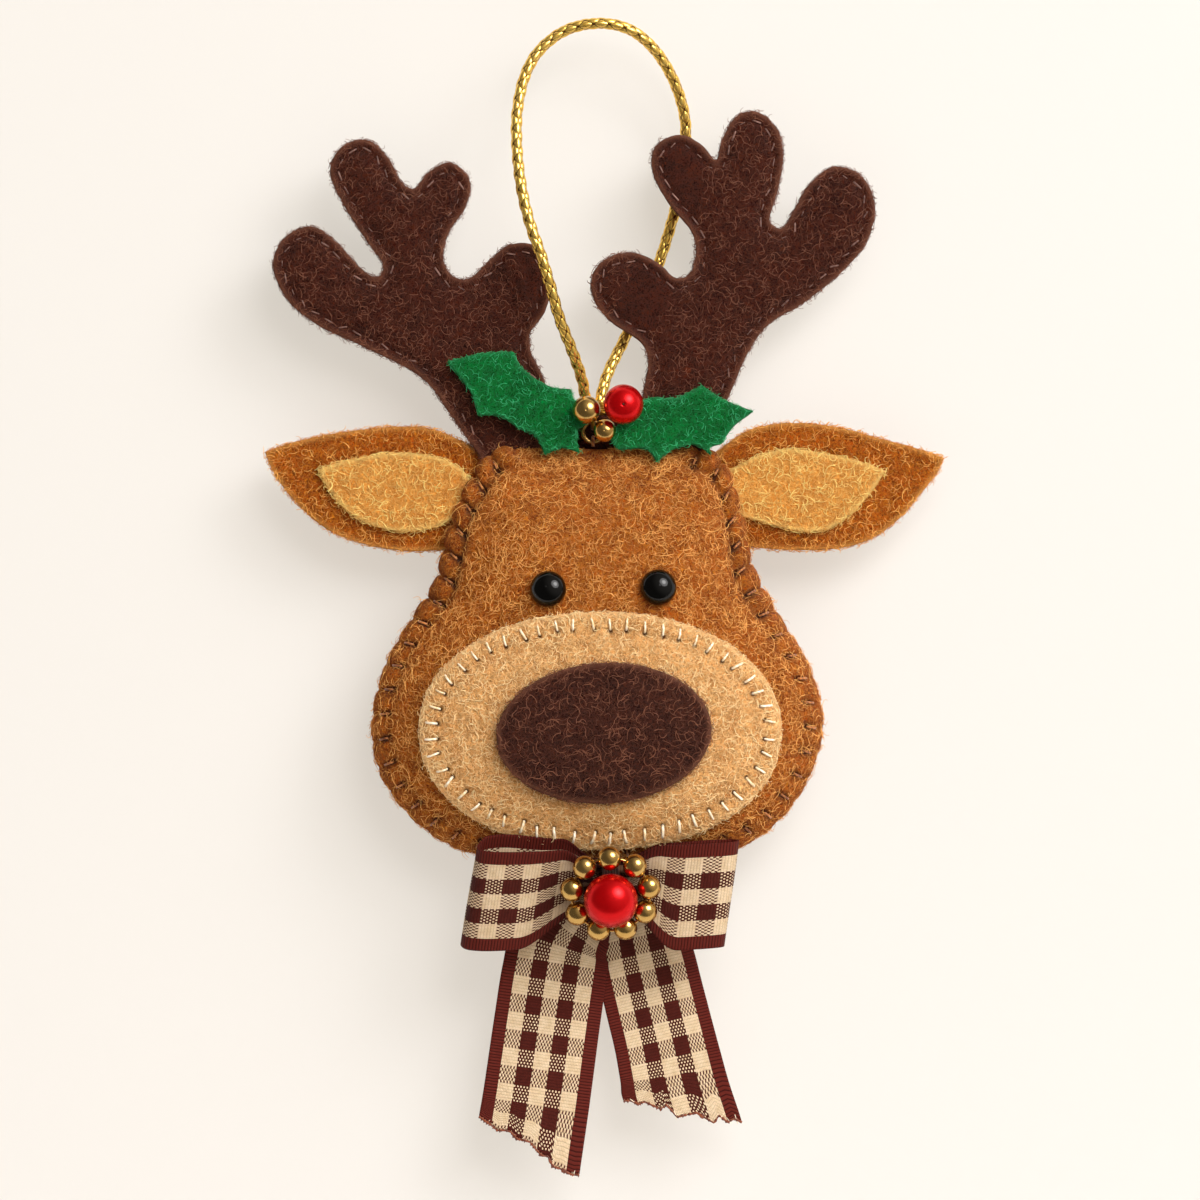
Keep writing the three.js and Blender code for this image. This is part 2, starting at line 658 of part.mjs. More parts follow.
function headPanel(facing, height) {
  const outer = (x, z) => facing * (seamHalfGap + felt + swell(x, z, 0, height));
  const inner = (x, z) => facing * (seamHalfGap + swell(x, z, seamAllowance, height));
  const rings = ringShares(headRings).map((share) => headRing(share, 0, outer));
  rings.push(headRing(1, 0, () => facing * seamHalfGap));
  for (const share of ringShares(headInnerRings).reverse()) {
    rings.push(headRing(share, seamAllowance, inner));
  }
  const outerPole = new THREE.Vector3(pole.x, outer(pole.x, pole.y), pole.y);
  const innerPole = new THREE.Vector3(pole.x, inner(pole.x, pole.y), pole.y);
  return poleToPole(outerPole, rings, innerPole);
}

function headStuffing() {
  const inset = seamAllowance + 3 * seatGap;
  const room = seamHalfGap - 3 * seatGap;
  const front = (x, z) => -(room + swell(x, z, seamAllowance, headFrontSwell));
  const back = (x, z) => room + swell(x, z, seamAllowance, headBackSwell);
  const shares = ringShares(headInnerRings);
  const rings = shares.map((share) => headRing(share, inset, front));
  rings.push(...shares.slice().reverse().map((share) => headRing(share, inset, back)));
  const frontPole = new THREE.Vector3(pole.x, front(pole.x, pole.y), pole.y);
  const backPole = new THREE.Vector3(pole.x, back(pole.x, pole.y), pole.y);
  return poleToPole(frontPole, rings, backPole);
}

const roots = [antlerRoom.left, antlerRoom.right, earRoom.left, earRoom.right];
add('head_front_panel', cut(headPanel(-1, headFrontSwell), roots), colours.head, finish.felt);
add('head_back_panel', cut(headPanel(1, headBackSwell), roots), colours.head, finish.felt);
add('head_stuffing', cut(headStuffing(), roots), colours.stuffing, finish.felt);

// Patches on the face follow the swell, one felt and one gap further out for each patch below
function patch(width, height, centre, turn, square, ringCount, level) {
  const back = level * (felt + patchGap) - felt;
  const skin = (x, z) => seamHalfGap + felt + swell(x, z, 0, headFrontSwell);
  const rings = [];
  const ringAt = (share, lift) => {
    const ring = [];
    for (let i = 0; i < patchAngles; i += 1) {
      const angle = (i / patchAngles) * 2 * Math.PI;
      const c = Math.cos(angle);
      const s = Math.sin(angle);
      const across = Math.sign(c) * Math.abs(c) ** (2 / square) * share * (width / 2);
      const up = Math.sign(s) * Math.abs(s) ** (2 / square) * share * (height / 2);
      const x = centre.x + across * Math.cos(turn) - up * Math.sin(turn);
      const z = centre.y + across * Math.sin(turn) + up * Math.cos(turn);
      ring.push(new THREE.Vector3(x, -(skin(x, z) + lift), z));
    }
    return ring;
  };
  const shares = Array.from({ length: ringCount }, (_, i) => (i + 1) / ringCount);
  for (const share of shares) rings.push(ringAt(share, back + felt));
  for (const share of shares.slice().reverse()) rings.push(ringAt(share, back));
  const skinHere = skin(centre.x, centre.y);
  const frontPole = new THREE.Vector3(centre.x, -(skinHere + back + felt), centre.y);
  const backPole = new THREE.Vector3(centre.x, -(skinHere + back), centre.y);
  return poleToPole(frontPole, rings, backPole);
}

const muzzleCentre = new THREE.Vector2(
  headLeft + muzzleMiddleShare * headWidth,
  headBottom + muzzleChinGap + muzzleHeight / 2,
);
const muzzle = patch(muzzleWidth, muzzleHeight, muzzleCentre, 0, muzzleSquareShare, muzzleRings, 1);
add('muzzle_panel', muzzle, colours.muzzle, finish.felt);
const noseCentre = placed(nosePlaceShare, muzzleCentre.x, muzzleCentre.y, muzzleWidth, muzzleHeight);
const nose = patch(noseWidth, noseHeight, noseCentre, rad(noseTilt), 2, noseRings, 2);
add('nose_patch', nose, colours.nose, finish.felt);

// Eyes: half-round beads seated along the skin's own slope
const eyeSteps = 5;
const eyeSides = 18;
for (const side of ['left', 'right']) {
  const radius = eyeDiameter / 2;
  const profile = [new THREE.Vector2(0, 0), new THREE.Vector2(radius, 0), new THREE.Vector2(radius, eyeRim)];
  for (let i = 1; i <= eyeSteps; i += 1) {
    const angle = (i / eyeSteps) * (Math.PI / 2);
    const across = i === eyeSteps ? 0 : radius * Math.cos(angle);
    profile.push(new THREE.Vector2(across, eyeRim + (eyeRise - eyeRim) * Math.sin(angle)));
  }
  const centre = new THREE.Vector2(
    headLeft + eyePiece[side].middleShare * headWidth,
    muzzleCentre.y + muzzleHeight / 2 + eyePiece[side].muzzleGap,
  );
  const skin = (x, z) => -(seamHalfGap + felt + swell(x, z, 0, headFrontSwell));
  const slopeX = (skin(centre.x + radius, centre.y) - skin(centre.x - radius, centre.y)) / eyeDiameter;
  const slopeZ = (skin(centre.x, centre.y + radius) - skin(centre.x, centre.y - radius)) / eyeDiameter;
  const normal = new THREE.Vector3(slopeX, -1, slopeZ).normalize();
  const dome = welded(new THREE.LatheGeometry(profile, eyeSides));
  const eye = add(`eye_${side}`, dome, colours.black, finish.gloss);
  eye.quaternion.setFromUnitVectors(new THREE.Vector3(0, 1, 0), normal);
  eye.position.set(centre.x, skin(centre.x, centre.y), centre.y).addScaledVector(normal, eyeSeat);
}

// Holly leaves lean back over the head's top edge
const leafSpan = 2;
for (const side of ['left', 'right']) {
  const leaf = leafPiece[side];
  const outward = side === 'left' ? -1 : 1;
  const inner = cordEndX + outward * leaf.middleGap;
  const outline = corneredOutline(leafShare[side], {
    left: side === 'left' ? inner - leaf.width : inner,
    bottom: -leaf.overlapDepth,
    width: leaf.width,
    height: leaf.height,
  }, leafSpan);
  const mesh = add(`holly_leaf_${side}`, layer(outline, 0, felt), colours.holly, finish.felt);
  mesh.rotation.x = -rad(leafTilt);
  mesh.position.set(0, -leafForwardGap, headTop);
}

// Berries over the leaves' inner ends, with their bores from front to back
const berrySteps = 6;
const berrySides = 14;
for (const [name, berry] of Object.entries(berryPiece)) {
  const bead = boredBead(berry.diameter, beadBore, berrySteps, berrySides);
  const mesh = add(name, bead, colours[berry.colour], finish.metal);
  mesh.position.set(cordEndX + berry.acrossGap, -berry.forwardGap, ringCentreZ + berry.upGap);
}

// Ribbon loops of the bow
function loopSections(piece, outward) {
  const points = loopPathShare.map(([out, depth]) => new THREE.Vector3(
    outward * out * piece.length,
    depth * piece.depth,
    0,
  ));
  const curve = new THREE.CatmullRomCurve3(points, false, 'centripetal');
  const sections = [];
  for (let i = 0; i <= loopSteps; i += 1) {
    const p = curve.getPointAt(i / loopSteps);
    const t = curve.getTangentAt(i / loopSteps);
    const n = new THREE.Vector3(-t.y, t.x, 0).multiplyScalar(ribbonThickness / 2);
    const out = Math.abs(p.x) / piece.length;
    const openTop = THREE.MathUtils.smoothstep(out, gatherShare.start, gatherShare.top);
    const openLow = THREE.MathUtils.smoothstep(out, gatherShare.start, gatherShare.low);
    const climb = piece.climbShare * Math.abs(p.x);
    const high = lerp(knotHeight / 2, piece.rise + climb, openTop);
    const low = lerp(-knotHeight / 2, piece.rise - ribbonWidth + climb, openLow);
    const corner = (sign, z) => {
      const lean = piece.leanShare * openTop * z;
      return new THREE.Vector3(p.x + sign * n.x + lean, p.y + sign * n.y, z);
    };
    sections.push([corner(1, high), corner(-1, high), corner(-1, low), corner(1, low)]);
  }
  return sections;
}

for (const side of ['left', 'right']) {
  const outward = side === 'left' ? -1 : 1;
  const sections = loopSections(loopPiece[side], outward);
  const loop = add(`bow_loop_${side}`, strip(sections), colours.ribbon, finish.ribbon);
  loop.rotation.x = rad(loopPiece[side].tilt);
  loop.position.copy(knot);
}

// Whipping round the gathered middle of the loops
const wrapInner = { x: wrapDepth / 2, y: knotHeight / 2 + 2 * seatGap };
function rectangle(halfX, halfY, path) {
  path.moveTo(-halfX, -halfY);
  path.lineTo(halfX, -halfY);
  path.lineTo(halfX, halfY);
  path.lineTo(-halfX, halfY);
  return path;
}
const wrapShape = rectangle(wrapInner.x + wrapWall, wrapInner.y + wrapWall, new THREE.Shape());
wrapShape.holes.push(rectangle(wrapInner.x, wrapInner.y, new THREE.Path()));
const wrap = new THREE.ExtrudeGeometry(wrapShape, { depth: wrapWidth, bevelEnabled: false });
wrap.translate(0, 0, -wrapWidth / 2);
wrap.rotateX(Math.PI / 2);
wrap.rotateZ(Math.PI / 2);
const wrapMesh = add('bow_wrap', welded(wrap), colours.thread, finish.ribbon);
wrapMesh.rotation.x = rad(knotTilt);
wrapMesh.position.copy(knot);

// Ribbon tails, gathered behind the knot and hanging free
for (const side of ['left', 'right']) {
  const piece = tailPiece[side];
  const top = knot.z - tailTopDrop;
  const points = tailShare[side].map(([across, down, , back]) => new THREE.Vector3(
    knot.x + across * piece.drop,
    knot.y + piece.behind + back * piece.drop,
    top - down * piece.drop,
  ));
  const widthPoints = tailShare[side].map(([, down, wide]) => new THREE.Vector3(down, wide, 0));
  const curve = new THREE.CatmullRomCurve3(points, false, 'centripetal');
  const widths = new THREE.CatmullRomCurve3(widthPoints, false, 'centripetal');
  const sections = [];
  for (let i = 0; i <= tailSteps; i += 1) {
    const u = i / tailSteps;
    const p = curve.getPoint(u);
    const t = curve.getTangent(u);
    const across = new THREE.Vector3(-t.z, 0, t.x).normalize();
    const n = across.clone().cross(t).normalize().multiplyScalar(ribbonThickness / 2);
    const half = (widths.getPoint(u).y * ribbonWidth) / 2;
    const slant = i === tailSteps ? piece.slantShare * half : 0;
    const edge = (sign, face) => p.clone()
      .addScaledVector(across, sign * half)
      .addScaledVector(t, sign * slant)
      .addScaledVector(n, face);
    sections.push([edge(1, 1), edge(1, -1), edge(-1, -1), edge(-1, 1)]);
  }
  add(`bow_tail_${side}`, strip(sections), colours.ribbon, finish.ribbon);
}

const stitchStart = new THREE.Vector3(0, wrapInner.x + wrapWall + bowStitch, wrapInner.y / 2)
  .applyAxisAngle(new THREE.Vector3(1, 0, 0), rad(knotTilt))
  .add(knot);
const stitchFootZ = headBottom - seatGap - bowStitch / 2;
const stitchEnd = new THREE.Vector3(knot.x, -(seamHalfGap + felt + bowStitch), stitchFootZ);
const stitchSteps = 4;
add('bow_stitch', tube([stitchStart, stitchEnd], bowStitch, stitchSteps), colours.thread, finish.felt);

// Pearl and bead ring
const cluster = new THREE.Group();
cluster.position.copy(knot);
cluster.rotation.x = rad(clusterTilt);
ornament.add(cluster);
const ringY = -clusterForward;
const ringBeadSteps = 6;
const ringBeadSides = 12;
for (let i = 0; i < ringBeadCount; i += 1) {
  const angle = rad(ringBeadTurn) + (i / ringBeadCount) * 2 * Math.PI;
  const bead = boredBead(ringBeadDiameter, beadWireDiameter + beadWireSlack, ringBeadSteps, ringBeadSides);
  const mesh = add(`bow_bead_${i + 1}`, bead, colours.gold, finish.metal, cluster);
  const along = new THREE.Vector3(-Math.sin(angle), 0, Math.cos(angle));
  mesh.quaternion.setFromUnitVectors(new THREE.Vector3(0, 1, 0), along);
  mesh.position.set(ringBeadRadius * Math.cos(angle), ringY, ringBeadRadius * Math.sin(angle));
}
const wireSides = 6;
const wireSegments = 36;
const beadWire = new THREE.TorusGeometry(ringBeadRadius, beadWireDiameter / 2, wireSides, wireSegments);
beadWire.rotateX(Math.PI / 2);
beadWire.translate(0, ringY, 0);
add('bead_wire', welded(beadWire), colours.gold, finish.metal, cluster);

const pearlSteps = 10;
const pearlSides = 20;
const pearl = boredBead(pearlDiameter, beadBore, pearlSteps, pearlSides);
pearl.rotateZ(Math.PI / 2);
pearl.translate(0, ringY - pearlForward, 0);
add('bow_pearl', pearl, colours.red, finish.pearl, cluster);

export default ornament;
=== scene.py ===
"""A stuffed felt deer-head ornament with holly, a gingham bow and a gold hanging cord.

The object's own sizes are in millimetres here and turn to metres where a mesh is made. +X is to the
right of someone looking at the face, +Z is up, and the face looks along -Y. The origin is the
underside of the cord loop's crown.
"""

import logging
import math
from dataclasses import dataclass, field
from enum import Enum
from typing import Callable, Optional, Sequence

import bpy
import numpy as np
from mathutils import Matrix, Vector, noise
from mathutils.geometry import delaunay_2d_cdt

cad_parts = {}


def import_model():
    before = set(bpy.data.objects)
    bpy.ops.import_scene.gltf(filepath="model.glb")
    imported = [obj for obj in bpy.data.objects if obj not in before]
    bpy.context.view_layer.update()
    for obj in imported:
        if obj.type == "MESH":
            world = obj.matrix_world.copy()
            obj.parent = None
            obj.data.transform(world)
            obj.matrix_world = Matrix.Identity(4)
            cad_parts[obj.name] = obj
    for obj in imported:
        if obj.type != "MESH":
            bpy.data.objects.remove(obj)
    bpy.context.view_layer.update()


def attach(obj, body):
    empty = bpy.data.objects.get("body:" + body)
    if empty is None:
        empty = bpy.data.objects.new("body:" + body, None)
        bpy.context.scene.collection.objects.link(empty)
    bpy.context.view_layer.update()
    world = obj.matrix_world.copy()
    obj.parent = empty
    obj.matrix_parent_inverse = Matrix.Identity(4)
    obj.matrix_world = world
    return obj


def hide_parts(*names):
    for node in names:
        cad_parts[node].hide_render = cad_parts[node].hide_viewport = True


LOG = logging.getLogger("ornament")
MM = 0.001
TAU = 2.0 * math.pi
Array = np.ndarray
Socket = bpy.types.NodeSocket


class Body(Enum):
    """The moving bodies that a piece can ride on."""

    LOOP = "hanging_loop"
    RING = "jump_ring"
    ORNAMENT = "ornament"


class Side(Enum):
    """A side as seen by someone looking at the face; the value is its sign along X."""

    LEFT = -1
    RIGHT = 1

    @property
    def label(self) -> str:
        """Returns the word that names the side in a piece's name."""
        return self.name.lower()


# Numbers and curves


def lerp(a: float, b: float, t: float) -> float:
    """Returns the value a share t of the way from a to b."""
    return a + (b - a) * t


def smooth(x: Array, low: float, high: float) -> Array:
    """Eases from 0 where x is low to 1 where it is high."""
    t = np.clip((np.asarray(x, float) - low) / (high - low), 0.0, 1.0)
    return t * t * (3.0 - 2.0 * t)


def bell(x: Array, middle: float, width: float) -> Array:
    """Returns a bell curve: 1 at the middle, and 0.37 a width away from it."""
    return np.exp(-(((x - middle) / width) ** 2))


def unit(rows: Array) -> Array:
    """Returns rows of coordinates, each scaled to a length of 1."""
    return rows / np.linalg.norm(rows, axis=1)[:, None]


def run_of(points: Array) -> Array:
    """Returns how far along a polyline each of its points is."""
    return np.concatenate([[0.0], np.cumsum(np.linalg.norm(np.diff(points, axis=0), axis=1))])


def placed(points: Array, move: Matrix) -> Array:
    """Returns points turned and moved by a matrix."""
    return points @ np.array(move.to_3x3()).T + np.array(move.translation)


def signed_area(outline: Array) -> float:
    """Returns twice a closed 2D outline's area, negative where it runs clockwise."""
    x, y = outline.T
    return float(np.sum(x * np.roll(y, -1) - np.roll(x, -1) * y))


def spline(points: Array, closed: bool, per_span: int) -> Array:
    """Runs a centripetal Catmull-Rom curve through points.

    Args:
        points: N rows of 2 or 3 coordinates.
        closed: whether the curve comes back to its first point.
        per_span: steps between two neighbouring points.

    Returns:
        The points of the curve, without the last one where it is closed.
    """
    pts = np.asarray(points, float)
    ends = (pts[-1], pts, pts[0], pts[1]) if closed else (2 * pts[0] - pts[1], pts, 2 * pts[-1] - pts[-2])
    ring = np.vstack(ends)
    out = []
    t = (np.arange(per_span) / per_span)[:, None]
    for p0, p1, p2, p3 in zip(ring[:-3], ring[1:-2], ring[2:-1], ring[3:]):
        gaps = [max(math.sqrt(np.linalg.norm(b - a)), 1e-4) for a, b in ((p0, p1), (p1, p2), (p2, p3))]
        start = ((p1 - p0) / gaps[0] - (p2 - p0) / (gaps[0] + gaps[1]) + (p2 - p1) / gaps[1]) * gaps[1]
        end = ((p2 - p1) / gaps[1] - (p3 - p1) / (gaps[1] + gaps[2]) + (p3 - p2) / gaps[2]) * gaps[1]
        square = -3 * p1 + 3 * p2 - 2 * start - end
        cube = 2 * p1 - 2 * p2 + start + end
        out.append(p1 + start * t + square * t**2 + cube * t**3)
    curve = np.vstack(out)
    return curve if closed else np.vstack([curve, pts[-1]])


def even(points: Array, step: float, closed: bool) -> Array:
    """Walks a polyline in equal steps.

    Args:
        points: the polyline's points.
        step: the wished distance between two points.
        closed: whether the polyline comes back to its start.

    Returns:
        Points at equal distances, without the start's copy where it is closed.
    """
    pts = np.vstack([points, points[:1]]) if closed else np.asarray(points, float)
    run = run_of(pts)
    at = np.linspace(0.0, run[-1], max(3, int(round(run[-1] / step))) + 1)
    if closed:
        at = at[:-1]
    return np.stack([np.interp(at, run, column) for column in pts.T], axis=1)


def outward_normals(outline: Array) -> Array:
    """Returns the unit normals that point out of a closed 2D outline."""
    along = unit(np.roll(outline, -1, axis=0) - np.roll(outline, 1, axis=0))
    return np.stack([along[:, 1], -along[:, 0]], axis=1) * np.sign(signed_area(outline))


def edge_distance(points: Array, outline: Array) -> Array:
    """Measures how far points lie from a closed 2D outline.

    Args:
        points: N rows of 2 coordinates.
        outline: the outline's points.

    Returns:
        N distances, all positive.
    """
    a, b = outline, np.roll(outline, -1, axis=0)
    best = np.full(len(points), np.inf)
    for first in range(0, len(a), 64):
        start = a[first:first + 64]
        along = b[first:first + 64] - start
        rel = points[:, None, :] - start[None]
        t = np.clip(np.sum(rel * along, axis=2) / np.maximum(np.sum(along**2, axis=1), 1e-12), 0, 1)
        gap = np.linalg.norm(rel - t[..., None] * along[None], axis=2)
        best = np.minimum(best, gap.min(axis=1))
    return best


def inside(points: Array, outline: Array) -> Array:
    """Returns which 2D points lie inside a closed outline."""
    x, y = points[:, 0][:, None], points[:, 1][:, None]
    a, b = outline, np.roll(outline, -1, axis=0)
    cross = (a[:, 1] > y) != (b[:, 1] > y)
    rise = np.where(b[:, 1] == a[:, 1], 1e-12, b[:, 1] - a[:, 1])
    hit = cross & (x < (b[:, 0] - a[:, 0]) * (y - a[:, 1]) / rise + a[:, 0])
    return hit.sum(axis=1) % 2 == 1


def shares_to_place(shares: Sequence[Sequence[float]], box: Sequence[float]) -> Array:
    """Turns shares of a box of left, bottom, width and height into places in millimetres."""
    left, bottom, width, height = box
    return np.asarray(shares, float) * [width, height] + [left, bottom]


def cornered(runs: Sequence[Sequence[Sequence[float]]], box: Sequence[float], per_span: int) -> Array:
    """Joins smooth runs of shares of a box into one closed outline, with a corner where two runs meet."""
    return np.vstack([spline(shares_to_place(run, box), False, per_span)[:-1] for run in runs])


# Meshes


def mesh_piece(name: str, verts: Array, faces: Sequence, material: bpy.types.Material,
               uv: Optional[Array] = None, smooth_shade: bool = True) -> bpy.types.Object:
    """Makes an object from points in millimetres.

    Args:
        name: the piece's name.
        verts: N rows of 3 coordinates in millimetres.
        faces: lists of point numbers.
        material: the finish.
        uv: for each point, its place on the flat cloth in metres.
        smooth_shade: whether the faces are shaded smooth.

    Returns:
        The object, linked to the scene.
    """
    mesh = bpy.data.meshes.new(name)
    rows = faces.tolist() if isinstance(faces, np.ndarray) else faces
    mesh.from_pydata((np.asarray(verts, float) * MM).tolist(), [], rows)
    mesh.polygons.foreach_set("use_smooth", [smooth_shade] * len(mesh.polygons))
    if uv is not None:
        layer = mesh.uv_layers.new(name="flat")
        corner = np.empty(len(mesh.loops), dtype=np.int32)
        mesh.loops.foreach_get("vertex_index", corner)
        layer.data.foreach_set("uv", np.asarray(uv, float)[corner].ravel())
    mesh.materials.append(material)
    mesh.update()
    return linked(name, mesh)


def linked(name: str, data: bpy.types.ID) -> bpy.types.Object:
    """Returns a new object with that data, linked to the scene."""
    piece = bpy.data.objects.new(name, data)
    bpy.context.scene.collection.objects.link(piece)
    return piece


def read(rows: bpy.types.bpy_prop_collection, name: str) -> Array:
    """Returns the vector that each row of a mesh's data has under a name."""
    flat = np.empty(len(rows) * 3)
    rows.foreach_get(name, flat)
    return flat.reshape(-1, 3)


def points_of(piece: bpy.types.Object) -> Array:
    """Returns the places of a piece's points in metres."""
    return read(piece.data.vertices, "co")


def move_points(piece: bpy.types.Object, places: Array) -> None:
    """Moves a piece's points to places in metres."""
    piece.data.vertices.foreach_set("co", places.ravel())
    piece.data.update()


def roughen(piece: bpy.types.Object, height: float, grain: float, seed: int) -> None:
    """Gives a felt piece its uneven nap by moving points along their normals.

    Args:
        piece: the piece.
        height: the most that a point moves, in millimetres.
        grain: the size of a clump of wool, in millimetres.
        seed: shifts the pattern, so that no two pieces share it.
    """
    places, normals = points_of(piece), read(piece.data.vertex_normals, "vector")
    shift = Vector((seed * 3.1, seed * 1.7, seed * 2.3))
    lift = np.array([
        noise.noise(Vector(p) / (grain * MM) + shift) + 0.5 * noise.noise(Vector(p) / (0.4 * grain * MM) - shift)
        for p in places
    ])
    move_points(piece, places + normals * (lift * height * MM)[:, None])


def add_value(piece: bpy.types.Object, name: str, values: Array) -> None:
    """Stores one number at each point of a piece under a name."""
    layer = piece.data.attributes.new(name, "FLOAT", "POINT")
    layer.data.foreach_set("value", np.asarray(values, float))


def ring_faces(rows: int, count: int) -> Array:
    """Returns the quads between rows of count points that each close on themselves."""
    r, i = np.meshgrid(np.arange(rows - 1), np.arange(count), indexing="ij")
    j = (i + 1) % count
    return np.stack([r * count + i, r * count + j, (r + 1) * count + j, (r + 1) * count + i], axis=-1).reshape(-1, 4)


def capped_rings(rows: int, count: int) -> list[list[int]]:
    """Joins rows of points that each close on themselves, and closes both ends.

    Args:
        rows: the number of rows.
        count: points in a row. The middles of the two ends come after the last row.

    Returns:
        The faces as lists of point numbers.
    """
    faces = ring_faces(rows, count).tolist()
    total = rows * count
    for i in range(count):
        j = (i + 1) % count
        faces += [[total, j, i], [total + 1, total - count + i, total - count + j]]
    return faces


def outward(piece: bpy.types.Object) -> bpy.types.Object:
    """Turns a closed piece's faces outwards if they all point in, and returns the piece."""
    mesh = piece.data
    mesh.calc_loop_triangles()
    corners = np.empty(len(mesh.loop_triangles) * 3, dtype=np.int32)
    mesh.loop_triangles.foreach_get("vertices", corners)
    tri = points_of(piece)[corners.reshape(-1, 3)]
    if np.einsum("ij,ij->i", tri[:, 0], np.cross(tri[:, 1], tri[:, 2])).sum() < 0:
        mesh.flip_normals()
    return piece


def tube(name: str, path: Array, radius: Array | float, sides: int, material: bpy.types.Material,
         profile: Optional[Callable[[Array, Array], Array]] = None) -> bpy.types.Object:
    """Makes a closed tube along a path, with a frame that doesn't twist.

    Args:
        name: the piece's name.
        path: the centreline in millimetres.
        radius: the radius at each path point, or one for all, in millimetres.
        sides: points round the tube.
        material: the finish.
        profile: takes the run along the path and the angle and returns an added radius in millimetres.

    Returns:
        The tube.
    """
    path = np.asarray(path, float)
    along = unit(np.gradient(path, axis=0))
    side = np.cross(along[0], [0.0, 1.0, 0.0])
    if np.linalg.norm(side) < 0.1:
        side = np.cross(along[0], [1.0, 0.0, 0.0])
    sides_at = []
    for t in along:
        side = side - t * np.dot(side, t)
        side = side / np.linalg.norm(side)
        sides_at.append(side)
    u = np.array(sides_at)
    v = np.cross(along, u)
    angle = np.arange(sides) / sides * TAU
    reach = (np.zeros(len(path)) + radius)[:, None] + np.zeros((1, sides))
    if profile is not None:
        reach = reach + profile(run_of(path)[:, None], angle[None])
    ring = (path[:, None] + u[:, None] * (np.cos(angle)[None, :, None] * reach[..., None])
            + v[:, None] * (np.sin(angle)[None, :, None] * reach[..., None]))
    verts = np.vstack([ring.reshape(-1, 3), path[0], path[-1]])
    return outward(mesh_piece(name, verts, capped_rings(len(path), sides), material))


def lathe(name: str, profile: Array, sides: int, axis: Sequence[float], centre: Sequence[float],
          material: bpy.types.Material) -> bpy.types.Object:
    """Turns a closed profile about an axis, as for a bored bead.

    Args:
        name: the piece's name.
        profile: rows of radius and height in millimetres, closed on itself.
        sides: steps round.
        axis: the direction of the profile's height.
        centre: where the profile's zero lies, in millimetres.
        material: the finish.

    Returns:
        The turned piece.
    """
    angle = np.arange(sides) / sides * TAU
    turn = np.array(Vector((0, 0, 1)).rotation_difference(Vector(axis)).to_matrix())
    radius, height = profile[:, 0][:, None], profile[:, 1][:, None]
    ring = np.stack([radius * np.cos(angle)[None], radius * np.sin(angle)[None], height + np.zeros((1, sides))],
                    axis=-1)
    verts = ring.reshape(-1, 3) @ turn.T + np.asarray(centre, float)
    faces = ring_faces(len(profile) + 1, sides) % (len(profile) * sides)
    return outward(mesh_piece(name, verts, faces, material))


def bead_profile(diameter: float, bore: float, steps: int) -> Array:
    """Draws a bored bead's profile with a small rounded lip at each end of the bore.

    Args:
        diameter: the bead's diameter in millimetres.
        bore: the bore's diameter in millimetres.
        steps: points along the outer arc.

    Returns:
        Rows of radius and height, closed on itself.
    """
    radius, lip = diameter / 2, 0.035 * diameter
    start = math.asin((bore / 2 + lip) / radius)
    angle = np.linspace(start, math.pi - start, steps)
    arc = np.stack([radius * np.sin(angle), -radius * np.cos(angle)], axis=1)
    low = -radius * math.cos(start)
    inner = [[bore / 2 + 0.3 * lip, -low - 0.3 * lip], [bore / 2, -low - lip], [bore / 2, low + lip],
             [bore / 2 + 0.3 * lip, low + 0.3 * lip]]
    return np.vstack([arc, inner])


# Trees of nodes


def linear(code: str) -> tuple[float, float, float, float]:
    """Turns an sRGB code of six hex digits into linear red, green and blue, and an alpha of 1."""
    parts = [int(code[i:i + 2], 16) / 255 for i in (0, 2, 4)]
    return (*(c / 12.92 if c <= 0.04045 else ((c + 0.055) / 1.055) ** 2.4 for c in parts), 1.0)


class Graph:
    """A tree of nodes, with short calls for the nodes that come often."""

    def __init__(self, tree: bpy.types.NodeTree) -> None:
        """Keeps the tree."""
        self.tree = tree

    def put(self, kind: str, inputs: Optional[dict] = None, **settings) -> bpy.types.Node:
        """Adds a node.

        Args:
            kind: the node's type name.
            inputs: socket names or numbers, each with a value or with the socket to link from.
            settings: the node's own properties.

        Returns:
            The new node.
        """
        node = self.tree.nodes.new(kind)
        for name, value in settings.items():
            setattr(node, name, value)
        for key, value in (inputs or {}).items():
            if isinstance(value, Socket):
                self.tree.links.new(value, node.inputs[key])
            else:
                node.inputs[key].default_value = value
        return node

    def calc(self, operation: str, *values: object) -> Socket:
        """Returns the result of a sum on sockets and numbers."""
        return self.put("ShaderNodeMath", dict(enumerate(values)), operation=operation).outputs[0]

    def remap(self, value: Socket, *limits: float, **settings: str) -> Socket:
        """Maps a value from one range, given by its two ends, to another, given by the next two."""
        return self.put("ShaderNodeMapRange", {"Value": value, **dict(enumerate(limits, 1))}, **settings).outputs[0]

    def pick(self, share: Socket, a: object, b: object) -> Socket:
        """Returns a number between a and b by a share."""
        return self.put("ShaderNodeMix", {"Factor": share, 2: a, 3: b}, data_type="FLOAT").outputs[0]

    def mix(self, share: object, a: object, b: object, blend_type: str = "MIX") -> Socket:
        """Returns the colour between a and b by a share; either may be a hex code."""
        a, b = (linear(c) if isinstance(c, str) else c for c in (a, b))
        return self.put("ShaderNodeMix", {"Factor": share, 6: a, 7: b}, data_type="RGBA",
                        blend_type=blend_type).outputs[2]


